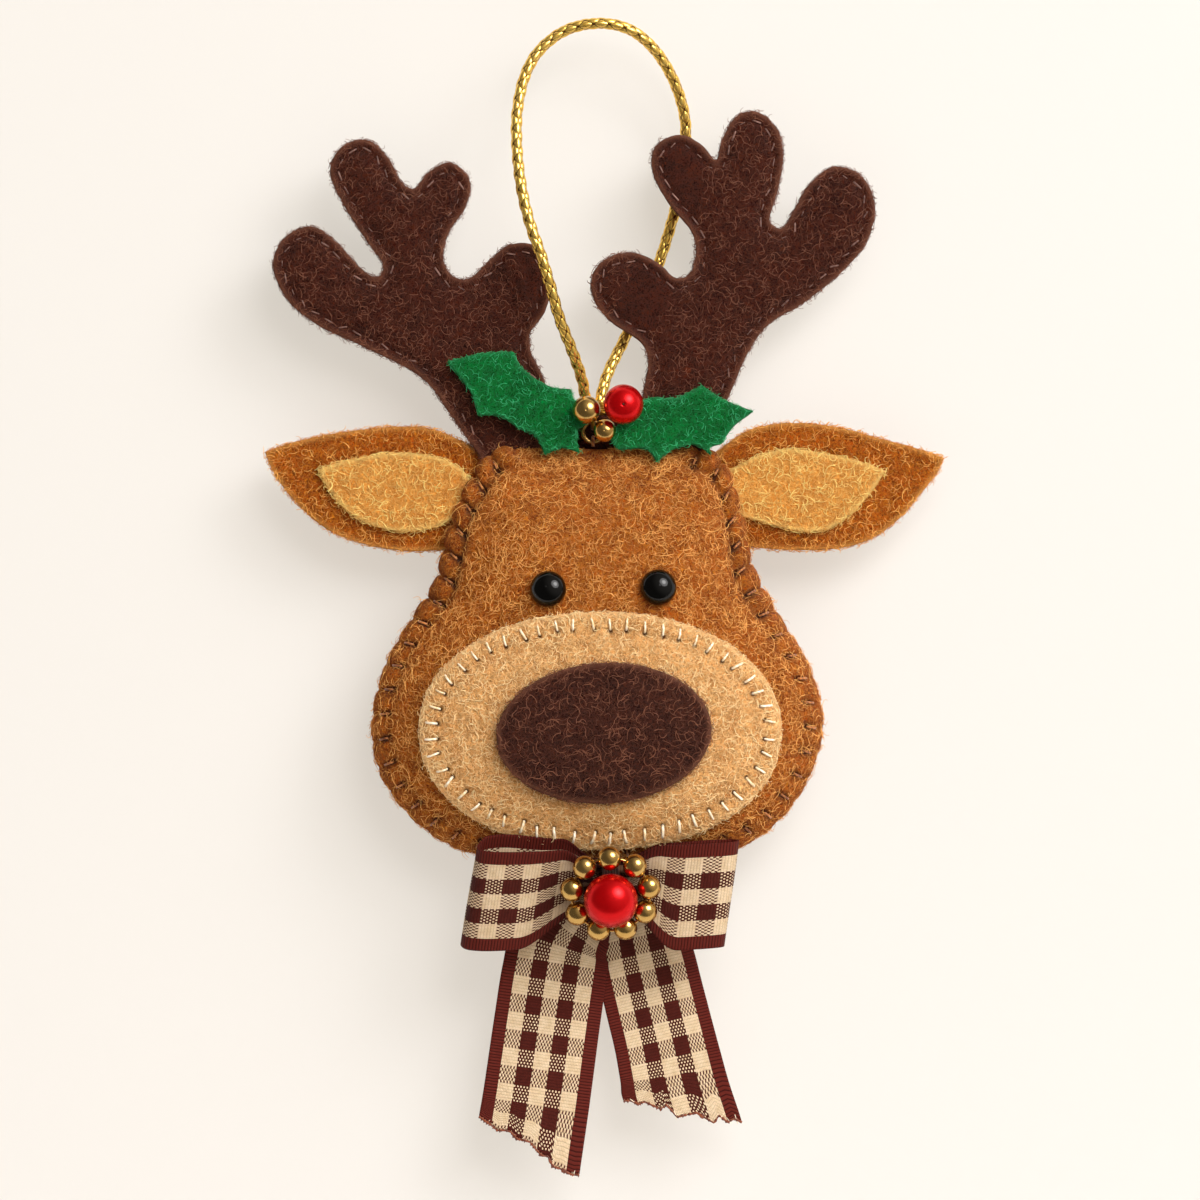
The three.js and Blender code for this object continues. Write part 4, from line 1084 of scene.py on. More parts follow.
HEAD_OUTLINE = (
    (0.318, 1), (0.283, 0.995), (0.252, 0.973), (0.225, 0.928), (0.194, 0.867), (0.171, 0.792), (0.14, 0.669),
    (0.107, 0.616), (0.069, 0.556), (0.031, 0.478), (0.007, 0.391), (0, 0.319), (0.013, 0.232), (0.047, 0.162),
    (0.105, 0.092), (0.183, 0.039), (0.283, 0.01), (0.416, 0), (0.55, 0), (0.684, 0.005), (0.784, 0.024),
    (0.869, 0.072), (0.933, 0.14), (0.978, 0.227), (1, 0.326), (0.989, 0.415), (0.955, 0.507), (0.911, 0.58),
    (0.871, 0.652), (0.84, 0.722), (0.824, 0.807), (0.808, 0.882), (0.786, 0.952), (0.755, 0.986),
    (0.717, 0.997), (0.617, 1), (0.506, 0.998), (0.416, 1),
)
EAR_RUNS = {
    Side.LEFT: (
        ((0, 0.798), (0.119, 0.875), (0.341, 0.96), (0.546, 1), (0.698, 0.992), (0.819, 0.911), (1, 0.734)),
        ((1, 0.734), (0.935, 0.411), (0.875, 0.024)),
        ((0.875, 0.024), (0.711, 0), (0.595, 0), (0.422, 0.056), (0.272, 0.169), (0.138, 0.379),
         (0.037, 0.629), (0, 0.798)),
    ),
    Side.RIGHT: (
        ((1, 0.724), (0.882, 0.803), (0.742, 0.874), (0.571, 0.961), (0.398, 1), (0.294, 0.992),
         (0.171, 0.929), (0, 0.693)),
        ((0, 0.693), (0.05, 0.394), (0.1, 0.039)),
        ((0.1, 0.039), (0.329, 0), (0.467, 0), (0.605, 0.025), (0.709, 0.098), (0.813, 0.244), (0.903, 0.437),
         (0.972, 0.606), (1, 0.724)),
    ),
}
INNER_EAR_RUNS = {
    Side.LEFT: (
        ((-0.02, 0.79), (0.06, 0.845), (0.16, 0.9), (0.31, 0.96), (0.487, 1), (0.666, 0.975), (0.805, 0.89),
         (0.9, 0.76), (0.945, 0.6), (0.92, 0.42), (0.855, 0.2), (0.726, 0.068), (0.567, 0.005), (0.467, 0.01),
         (0.348, 0.068), (0.23, 0.168), (0.13, 0.328), (0.05, 0.528), (-0.02, 0.79)),
    ),
    Side.RIGHT: (
        ((1, 0.742), (0.835, 0.864), (0.495, 1), (0.349, 0.985), (0.233, 0.912), (0, 0.657)),
        ((0, 0.657), (0.076, 0.243)),
        ((0.076, 0.243), (0.349, 0.073), (0.527, 0), (0.668, 0.036), (0.835, 0.292), (0.931, 0.535),
         (1, 0.742)),
    ),
}
ANTLER_OUTLINE = {
    Side.LEFT: (
        (0.723, 0.094), (0.637, 0.194), (0.543, 0.295), (0.319, 0.395), (0.158, 0.457), (0.047, 0.536),
        (0, 0.636), (0.043, 0.713), (0.137, 0.747), (0.219, 0.707), (0.335, 0.61), (0.38, 0.598),
        (0.396, 0.63), (0.342, 0.698), (0.252, 0.813), (0.205, 0.913), (0.248, 0.981), (0.342, 1),
        (0.414, 0.948), (0.46, 0.881), (0.504, 0.857), (0.565, 0.91), (0.64, 0.935), (0.709, 0.878),
        (0.691, 0.801), (0.633, 0.73), (0.612, 0.654), (0.644, 0.601), (0.701, 0.592), (0.77, 0.639),
        (0.849, 0.692), (0.942, 0.689), (1, 0.604), (0.978, 0.495), (0.924, 0.43), (0.928, 0.377),
        (0.978, 0.28), (0.924, 0.029), (0.817, 0),
    ),
    Side.RIGHT: (
        (0.17, 0.077), (0.177, 0.213), (0.198, 0.322), (0.177, 0.366), (0.067, 0.426), (0.007, 0.486),
        (0, 0.552), (0.049, 0.598), (0.141, 0.615), (0.233, 0.587), (0.297, 0.546), (0.346, 0.557),
        (0.367, 0.634), (0.346, 0.678), (0.269, 0.751), (0.212, 0.842), (0.223, 0.904), (0.304, 0.937),
        (0.382, 0.913), (0.438, 0.869), (0.459, 0.923), (0.509, 0.986), (0.58, 1), (0.65, 0.956),
        (0.675, 0.883), (0.657, 0.787), (0.629, 0.699), (0.668, 0.68), (0.714, 0.732), (0.767, 0.801),
        (0.855, 0.85), (0.951, 0.825), (1, 0.743), (0.968, 0.642), (0.883, 0.563), (0.753, 0.481),
        (0.622, 0.418), (0.558, 0.352), (0.508, 0.268), (0.447, 0.158), (0.37, 0.036), (0.31, 0),
        (0.205, 0.011),
    ),
}
LEAF_RUNS = {
    Side.LEFT: (
        ((0, 0.904), (0.228, 0.981), (0.467, 1)),
        ((0.467, 1), (0.509, 0.865), (0.635, 0.721)),
        ((0.635, 0.721), (0.733, 0.654), (0.867, 0.635)),
        ((0.867, 0.635), (0.895, 0.519), (1, 0.442)),
        ((1, 0.442), (0.993, 0.327), (0.916, 0.25)),
        ((0.916, 0.25), (0.909, 0.135), (0.93, 0.019)),
        ((0.93, 0.019), (0.804, 0.067), (0.684, 0)),
        ((0.684, 0), (0.614, 0.183), (0.495, 0.26)),
        ((0.495, 0.26), (0.368, 0.375), (0.214, 0.385)),
        ((0.214, 0.385), (0.179, 0.567), (0, 0.904)),
    ),
    Side.RIGHT: (
        ((-0.035, 0.403), (0.045, 0.558), (0.097, 0.74)),
        ((0.097, 0.74), (0.18, 0.792), (0.252, 0.844)),
        ((0.252, 0.844), (0.415, 0.831), (0.629, 1)),
        ((0.629, 1), (0.761, 0.831), (1, 0.662)),
        ((1, 0.662), (0.851, 0.455), (0.768, 0.234)),
        ((0.768, 0.234), (0.685, 0.182), (0.689, 0.091)),
        ((0.689, 0.091), (0.567, 0.221), (0.394, 0.143), (0.29, 0)),
        ((0.29, 0), (0.221, 0.156), (0.015, 0.156)),
        ((0.015, 0.156), (-0.035, 0.25), (-0.035, 0.403)),
    ),
}
LOOP_PATH = (
    (0.015, -0.13), (0.1, -0.19), (0.2, -0.34), (0.34, -0.46), (0.52, -0.6), (0.72, -0.68), (0.88, -0.66),
    (0.97, -0.52), (1, -0.2), (0.97, 0.1), (0.88, 0.27), (0.7, 0.31), (0.5, 0.29), (0.3, 0.24), (0.1, 0.17),
    (0.015, 0.13),
)
TAIL_PATH = {
    Side.LEFT: (
        (-0.055, 0, 0.46, 0), (-0.085, 0.05, 0.58, 0.03), (-0.142, 0.123, 0.8, 0.07), (-0.196, 0.21, 0.96, 0.1),
        (-0.221, 0.33, 0.99, 0.112), (-0.251, 0.53, 1, 0.112), (-0.288, 0.795, 1.01, 0.105), (-0.319, 1, 1.02, 0.1),
    ),
    Side.RIGHT: (
        (0.06, 0, 0.46, 0), (0.083, 0.06, 0.6, 0.035), (0.112, 0.133, 0.8, 0.08), (0.15, 0.296, 0.93, 0.12),
        (0.198, 0.493, 0.95, 0.13), (0.245, 0.68, 0.96, 0.13), (0.292, 0.885, 1, 0.125), (0.325, 1, 1.02, 0.12),
    ),
}


# Places on the face that more than one piece needs, across and up, in millimetres.

EYES = {Side.LEFT: (-7.674, -84.08), Side.RIGHT: (8.625, -83.83)}
MUZZLE = (0.004, -105.19)
HEAD_TOP = -62.9


# How a finished piece joins the model


def dress(piece: bpy.types.Object, body: Body, slot: str, *nodes: str) -> bpy.types.Object:
    """Sets what a finished piece rides on, and hides the nodes of the model that it stands for.

    Args:
        piece: the piece.
        body: the body that it moves with.
        slot: the slot of its finish; not used.
        nodes: the nodes of the model that it replaces.

    Returns:
        The piece.
    """
    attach(piece, body.value)
    if nodes:
        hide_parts(*nodes)
    return piece


def nap_near_cord(x: Array, z: Array) -> Array:
    """Returns how long the nap may be at a place: 0 along the cord, so that it swings clear, and 1 away from it."""
    route = spline(CORD_ROUTE, False, 6)[:, [0, 2]]
    flat = np.stack([x, z], axis=1)
    gap = np.full(len(flat), np.inf)
    for place in route:
        gap = np.minimum(gap, np.hypot(*(flat - place).T))
    return smooth(gap, 2.8, 4.2)


class FeltCut:
    """A piece cut from sheet felt and laid on a surface, with soft edges."""

    def __init__(self, name: str, outline: Array, thickness: float, middle: Callable[[Array, Array], Array],
                 relief: Optional[Callable[[Array, Array, Array], Array]] = None, grid: float = 0.5,
                 soft: float = 0.45) -> None:
        """Sets the cut.

        Args:
            name: the piece's name.
            outline: the closed outline in the X-Z plane, in millimetres.
            thickness: the felt's thickness in millimetres.
            middle: gives the depth y of the felt's middle at places x, z.
            relief: gives how far the front stands out at places x, z, a distance from the edge.
            grid: the distance between two points in millimetres.
            soft: how far in the edge is rounded, in millimetres.
        """
        self.name, self.thickness, self.middle, self.relief = name, thickness, middle, relief
        self.outline, self.grid, self.soft = even(outline, 0.3, True), grid, soft
        self.pits = np.zeros((0, 2))
        self.rub = 0.45
        self.places = np.zeros((0, 2))
        self.edge = np.zeros(0)

    def triangles(self) -> Array:
        """Fills the outline with points and triangles that turn the same way.

        Returns:
            One row of three point numbers for each triangle.
        """
        out = outward_normals(self.outline)
        points = [self.outline]
        for inset in (0.12, 0.3, 0.6, 1.0):
            row = self.outline - out * inset
            keep = inside(row, self.outline) & (edge_distance(row, self.outline) > 0.9 * inset)
            points.append(row[keep][::1 if inset < 0.5 else 2])
        low, high = self.outline.min(axis=0), self.outline.max(axis=0)
        columns = np.arange(low[0], high[0], self.grid)
        rows = np.arange(low[1], high[1], self.grid * 0.866)
        x, z = np.meshgrid(columns, rows)
        x = x + np.where(np.arange(len(rows)) % 2, 0.5 * self.grid, 0.0)[:, None]
        mesh = np.stack([x.ravel(), z.ravel()], axis=1)
        mesh = mesh[inside(mesh, self.outline)]
        mesh = mesh[edge_distance(mesh, self.outline) > 1.0 + 0.5 * self.grid]
        points.append(mesh[self.pit_gap(mesh) > 0.6])
        # Rings of points round each small pit, so that it comes out round
        for radius, count in ((0.0, 1), (0.14, 7), (0.3, 9), (0.48, 11)):
            angle = np.arange(count) / count * TAU
            ring = np.stack([np.cos(angle), np.sin(angle)], axis=1) * radius
            points.append((self.pits[:, None] + ring[None]).reshape(-1, 2))
        flat = [Vector(p) for p in np.vstack(points)]
        loop = np.arange(len(self.outline))
        verts, _, faces, *_ = delaunay_2d_cdt(flat, np.stack([loop, np.roll(loop, -1)], axis=1).tolist(), [], 0,
                                              1e-5, False)
        self.places = np.array([[v[0], v[1]] for v in verts])
        self.edge = edge_distance(self.places, self.outline)
        tri = np.array([f for f in faces if len(f) == 3])
        tri = tri[inside(self.places[tri].mean(axis=1), self.outline)]
        a, b, c = (self.places[tri[:, k]] for k in range(3))
        turn = (b[:, 0] - a[:, 0]) * (c[:, 1] - a[:, 1]) - (b[:, 1] - a[:, 1]) * (c[:, 0] - a[:, 0])
        tri[turn < 0] = tri[turn < 0][:, [0, 2, 1]]
        return tri

    def build(self, material: bpy.types.Material, move: Optional[Matrix] = None) -> bpy.types.Object:
        """Builds the closed felt piece.

        Args:
            material: the finish.
            move: turns and moves the flat piece to its place, in millimetres.

        Returns:
            The piece. Its points are the front's and then the back's, in the order of self.places.
        """
        tri = self.triangles()
        x, z = self.places.T
        count = len(x)
        share = 1 - np.clip(self.edge / self.soft, 0, 1)
        half = 0.5 * self.thickness * (0.62 + 0.38 * np.sqrt(1 - share**2))
        middle = self.middle(x, z)
        lift = self.relief(x, z, self.edge) if self.relief else 0.0
        front = np.stack([x, middle - half - lift, z], axis=1)
        back = np.stack([x, middle + half, z], axis=1)
        verts = np.vstack([front, back])
        if move is not None:
            verts = placed(verts, move)
        sides = np.vstack([tri[:, [0, 1]], tri[:, [1, 2]], tri[:, [2, 0]]])
        known = {tuple(s) for s in sides.tolist()}
        rim = [s for s in sides.tolist() if (s[1], s[0]) not in known]
        faces = tri.tolist() + (tri[:, ::-1] + count).tolist()
        faces += [[a, a + count, b + count, b] for a, b in rim]
        piece = outward(mesh_piece(self.name, verts, faces, material))
        # Painted shade in each small pit
        add_value(piece, "hollow", np.tile(0.95 * np.exp(-((self.pit_gap(self.places) / 0.36) ** 4)), 2))
        # The felt grows paler towards the cut edge, by a share that each cut sets
        add_value(piece, "rubbed", np.tile(self.rub * (1 - smooth(self.edge, 0.15, 0.9)), 2))
        return piece

    def pit_gap(self, places: Array) -> Array:
        """Returns the distance from each place to the nearest pit, in millimetres."""
        gap = np.full(len(places), 99.0)
        for pit in self.pits:
            gap = np.minimum(gap, np.hypot(*(places - pit).T))
        return gap

    def area(self) -> float:
        """Returns the flat area of the cut in square metres."""
        return abs(signed_area(self.outline)) / 2 * MM**2

    def size(self) -> tuple[float, float]:
        """Returns the width and height of the felt that the cut fits in, in metres."""
        low, high = self.outline.min(axis=0), self.outline.max(axis=0)
        return float(high[0] - low[0]) * MM, float(high[1] - low[1]) * MM

    def nap(self, front: float, back: float, near_cord: bool = True) -> Array:
        """Returns how much nap each point carries, with more along the cut edge.

        Args:
            front: the nap on the front.
            back: the nap on the back.
            near_cord: whether the nap is laid flat along the cord.
        """
        edge = 1 + 1.2 * (1 - smooth(self.edge, 0.2, 0.9))
        free = nap_near_cord(*self.places.T) if near_cord else 1.0
        return np.concatenate([front * edge * free, back * edge * free])


@dataclass
class SewnShape:
    """The stuffed head's shape: its sewn outline and how far its two sides swell from the seam."""

    left: float = -34.075
    bottom: float = -125.0
    width: float = 67.35
    height: float = 62.1
    pole_share: tuple[float, float] = (0.503, 0.43)
    front: float = 11.2
    back: float = 8.6
    skin: float = 1.35
    round_share: float = 2.6
    edge_share: float = 0.6
    top_share: float = 0.5
    chin_share: float = 0.8

    def __post_init__(self) -> None:
        """Works out the outline and its distance from the pole at each angle."""
        box = (self.left, self.bottom, self.width, self.height)
        self.outline = even(spline(shares_to_place(HEAD_OUTLINE, box), True, 16), 0.1, True)
        self.pole = shares_to_place([self.pole_share], box)[0]
        rel = self.outline - self.pole
        angle = np.arctan2(rel[:, 1], rel[:, 0])
        self.start = angle[0]
        turn = np.mod(angle - self.start, TAU)
        turn[0] = 0.0
        far = np.hypot(rel[:, 0], rel[:, 1])
        step = np.linalg.norm(np.roll(self.outline, -1, axis=0) - self.outline, axis=1)
        self.turns = np.append(turn, TAU)
        self.far = np.append(far, far[0])
        self.runs = np.concatenate([[0.0], np.cumsum(step)])

    def reach(self, angle: Array) -> Array:
        """Returns the distance from the pole to the seam at angles."""
        return np.interp(np.mod(angle - self.start, TAU), self.turns, self.far)

    def run(self, angle: Array) -> Array:
        """Returns how far round the seam the place at an angle is, in millimetres."""
        return np.interp(np.mod(angle - self.start, TAU), self.turns, self.runs)

    def swell(self, x: Array, z: Array, height: float) -> Array:
        """Works out how far the skin stands out from the seam.

        Args:
            x: places across.
            z: places up.
            height: the swell of that side, in millimetres.

        Returns:
            The distance at each place.
        """
        dx, dz = x - self.pole[0], z - self.pole[1]
        share = np.clip(np.hypot(dx, dz) / self.reach(np.arctan2(dz, dx)), 0, 1)
        up = np.clip(dz / (self.bottom + self.height - self.pole[1]), 0, 1)
        down = np.clip(-dz / (self.pole[1] - self.bottom), 0, 1)
        taper = (1 + (self.top_share - 1) * up**2) * (1 + (self.chin_share - 1) * down**2)
        return height * taper * (1 - share**self.round_share) ** self.edge_share

    def face(self, x: Array, z: Array) -> Array:
        """Returns the depth y of the front skin at places."""
        return -(self.skin + self.swell(np.asarray(x, float), np.asarray(z, float), self.front))

    def normals(self, x: Array, z: Array) -> Array:
        """Returns the direction out of the front skin at places."""
        step = 0.4
        slope_x = (self.face(x + step, z) - self.face(x - step, z)) / (2 * step)
        slope_z = (self.face(x, z + step) - self.face(x, z - step)) / (2 * step)
        return unit(np.stack([slope_x, -np.ones_like(slope_x), slope_z], axis=1))


@dataclass
class Head:
    """The stuffed head: two panels whipped together round their edges, and the wool's loose fibres."""

    shape: SewnShape
    stitches: int = 54
    stitch_depth: float = 2.2
    angles: int = 1080
    near: tuple = (0.0, 0.06, 0.16, 0.32, 0.52, 0.76, 1.02, 1.3, 1.58, 1.86, 2.14, 2.45, 2.85, 3.4, 4.1, 4.9, 5.7, 6.5)
    knob: float = 0.85
    near_back: tuple = (0.0, 0.16, 0.42, 0.8, 1.3, 1.85, 2.45, 3.4, 4.7, 6.5)
    rim: tuple = ((-0.95, 0.0), (-0.6, 0.03), (-0.3, 0.2), (0.0, 0.5), (0.3, 0.2), (0.6, 0.03), (0.95, 0.0))
    far_steps: int = 27

    def seam_gap(self, angle: Array) -> Array:
        """Returns the distance along the seam to the nearest stitch, in millimetres."""
        share = self.shape.run(angle) / self.shape.runs[-1] * self.stitches
        return (np.mod(share + 0.5, 1.0) - 0.5) * self.shape.runs[-1] / self.stitches

    def build(self, shop: Workshop) -> None:
        """Builds the head, its seam stitches and its nap.

        Args:
            shop: the materials, and what grows naps and lays stitches.
        """
        shape = self.shape
        angle = np.arange(self.angles) / self.angles * TAU
        reach = shape.reach(angle)
        rings, insets, sides = [], [], []

        def ring(radius: Array, depth: Callable[[Array, Array], Array], side: float) -> None:
            """Adds one row of points round the pole."""
            x, z = shape.pole[0] + radius * np.cos(angle), shape.pole[1] + radius * np.sin(angle)
            rings.append(np.stack([x, depth(x, z), z], axis=1))
            insets.append(reach - radius)
            sides.append(np.full(self.angles, side))

        def back(x: Array, z: Array) -> Array:
            """Returns the depth of the back skin."""
            return shape.skin + shape.swell(x, z, shape.back)

        far = [(reach - self.near[-1]) * k / self.far_steps for k in range(1, self.far_steps)]
        for radius in far + [reach - d for d in reversed(self.near)]:
            ring(radius, shape.face, -1.0)
        for depth, inset in self.rim:
            ring(reach - inset, lambda x, z, y=depth: np.full_like(x, y), 0.0)
        for radius in [reach - d for d in self.near_back] + far[::-1]:
            ring(radius, back, 1.0)
        pole_x, pole_z = (np.array([c]) for c in shape.pole)
        poles = [np.array([[pole_x[0], depth(pole_x, pole_z)[0], pole_z[0]]]) for depth in (shape.face, back)]
        verts = np.vstack(rings + poles)
        head = outward(mesh_piece("head", verts, capped_rings(len(rings), self.angles), shop["head"]))
        inset = np.concatenate(insets + [[30.0, 30.0]])
        side = np.concatenate(sides + [[-1.0, 1.0]])
        along = np.concatenate([np.tile(self.seam_gap(angle), len(rings)), [9.0, 9.0]])
        seen = 1 - self.covered(verts[:, 0], verts[:, 2])
        lift = self.puckers(inset, side, along, self.ear_base(verts[:, 0], verts[:, 2])) * seen
        moved = points_of(head) + read(head.data.vertex_normals, "vector") * (lift * MM)[:, None]
        head.data.vertices.foreach_set("co", moved.ravel())
        roughen(head, 0.09, 1.6, 3)
        add_value(head, "nap", self.nap(verts, inset, side))
        # Painted shade along the stitches, at their inner ends and in the seam's valley
        add_value(head, "hollow", self.shadow(inset, along, self.ear_base(verts[:, 0], verts[:, 2])) * seen)
        self.sew(shop)
        for number, (density, length, radius, steps) in enumerate((
                (1.8, 1.5, 0.042, 4), (1.8, 1.1, 0.042, 4), (0.55, 2.4, 0.044, 6), (1.8, 0.9, 0.04, 4))):
            shop.fibres.on(head, f"head_nap_{number + 1}", "brown_felt", density, length, shop["head_fibre"],
                           11 + number, radius, steps)
        dress(head, Body.ORNAMENT, "brown_felt", "head_front_panel", "head_back_panel", "head_stuffing")

    def covered(self, x: Array, z: Array) -> Array:
        """Returns 1 along the middle of the top edge, where loose wool hides the seam, and 0 elsewhere."""
        return smooth(np.asarray(z), -67.6, -66.0) * (1 - smooth(np.abs(x), 11.5, 13.5))

    def ear_base(self, x: Array, z: Array) -> Array:
        """Returns 1 where the seam is drawn into round knobs: in front of the ears, and less down the left cheek."""
        left = smooth(z, -122.0, -106.0) * (0.16 + 0.84 * smooth(z, -90.0, -84.5))
        return smooth(np.abs(x), 11.5, 14.0) * np.where(x < 0, left, 0.8 * smooth(z, -92.0, -84.0))

    def puckers(self, inset: Array, side: Array, along: Array, knobs: Array) -> Array:
        """Works out how the whip stitches pull the felt in and let it puff between them.

        Args:
            inset: distance from the sewn edge.
            side: -1 on the front, 0 on the rim and 1 on the back.
            along: distance along the seam to the nearest stitch.
            knobs: how much the felt is drawn into knobs.

        Returns:
            How far each point moves out, in millimetres.
        """
        way = np.clip(np.abs(along) / self.shape.runs[-1] * self.stitches * 2, 0, 1)
        hump = np.sqrt(1 - (1 - way) ** 2)
        reach = 1 - smooth(inset, self.stitch_depth - 0.1, self.stitch_depth + 0.9)
        drawn = 0.28 + 0.72 * knobs
        groove = -(0.3 + 0.5 * smooth(inset, 0.0, 0.9)) * drawn * (1 - hump) * reach
        puff = self.knob * drawn * hump * np.sqrt(np.clip(1 - ((inset - 0.9) / 1.3) ** 2, 0, 1))
        dent = -0.4 * np.exp(-(((inset - self.stitch_depth) / 0.4) ** 2 + (along / 0.45) ** 2))
        valley = -(0.12 + 0.4 * knobs) * bell(inset, 2.7, 0.6)
        return (groove + dent + puff + valley) * np.where(side > 0, 0.75, 1.0)

    def shadow(self, inset: Array, along: Array, knobs: Array) -> Array:
        """Returns the painted shade where the thread pulls the felt in: along each stitch, at its inner end and in a
        ring along the seam's valley.
        """
        line = bell(along, 0.0, 0.5) * (1 - smooth(inset, self.stitch_depth, self.stitch_depth + 0.7))
        end = np.exp(-(((inset - self.stitch_depth + 0.2) / 0.8) ** 2 + (along / 0.7) ** 2))
        ring = (0.08 + 0.35 * knobs) * bell(inset, 2.6, 0.5)
        return np.clip(0.55 * line * smooth(inset, 0.0, 1.4) + 0.6 * end + ring, 0, 0.9)

    def nap(self, verts: Array, inset: Array, side: Array) -> Array:
        """Returns how much nap each point carries: full on the face, none under the pieces sewn on it."""
        x, z = verts[:, 0], verts[:, 2]
        value = np.where(side > 0, 0.25, np.where(side < 0, 1.0, 0.3))
        muzzle = np.hypot((x - MUZZLE[0]) / 26.0, (z - MUZZLE[1]) / 16.7)
        value = np.where((side < 0) & (muzzle < 1), 0.0, value)
        for centre in EYES.values():
            value = value * smooth(np.hypot(x - centre[0], z - centre[1]), 2.6, 3.6)
        value = value * smooth(np.hypot(x + 1.05, z - HEAD_TOP), 1.8, 3.0)
        seam = 0.5 - 0.3 * self.ear_base(x, z)
        return value * np.maximum(seam + (1 - seam) * smooth(inset, 2.2, 3.6), 1.8 * self.covered(x, z))

    def sew(self, shop: Workshop) -> None:
        """Lays the whip stitches over the seam, front and back."""
        shape = self.shape
        run = np.arange(self.stitches) * shape.runs[-1] / self.stitches
        angle = np.interp(run, shape.runs, shape.turns) + shape.start
        x, z = shape.pole[0] + shape.reach(angle) * np.cos(angle), shape.pole[1] + shape.reach(angle) * np.sin(angle)
        angle = angle[self.covered(x, z) < 0.9]
        reach, cos, sin = shape.reach(angle), np.cos(angle), np.sin(angle)
        chance = np.random.default_rng(4)
        for front, swell in ((-1, shape.front), (1, shape.back)):
            ends = []
            for inset in (1.0, self.stitch_depth - 0.1):
                x, z = shape.pole[0] + (reach - inset) * cos, shape.pole[1] + (reach - inset) * sin
                depth = front * (shape.skin - 0.25 + shape.swell(x, z, swell))
                ends.append(np.stack([x, depth, z], axis=1))
            middle = (ends[0] + ends[1]) / 2
            along = ends[1] - ends[0]
            out = np.stack([cos, np.full_like(cos, front * 0.9), sin], axis=1)
            lengths = np.linalg.norm(along, axis=1)
            name = "seam_stitches_front" if front < 0 else "seam_stitches_back"
            shop.stitches.row(name, "brown_thread", middle, along, out, float(lengths.mean()), 0.16, 0.4, 0.2,
                              shop["brown_thread"],
                              lengths / lengths.mean() * chance.uniform(0.94, 1.05, len(lengths)))


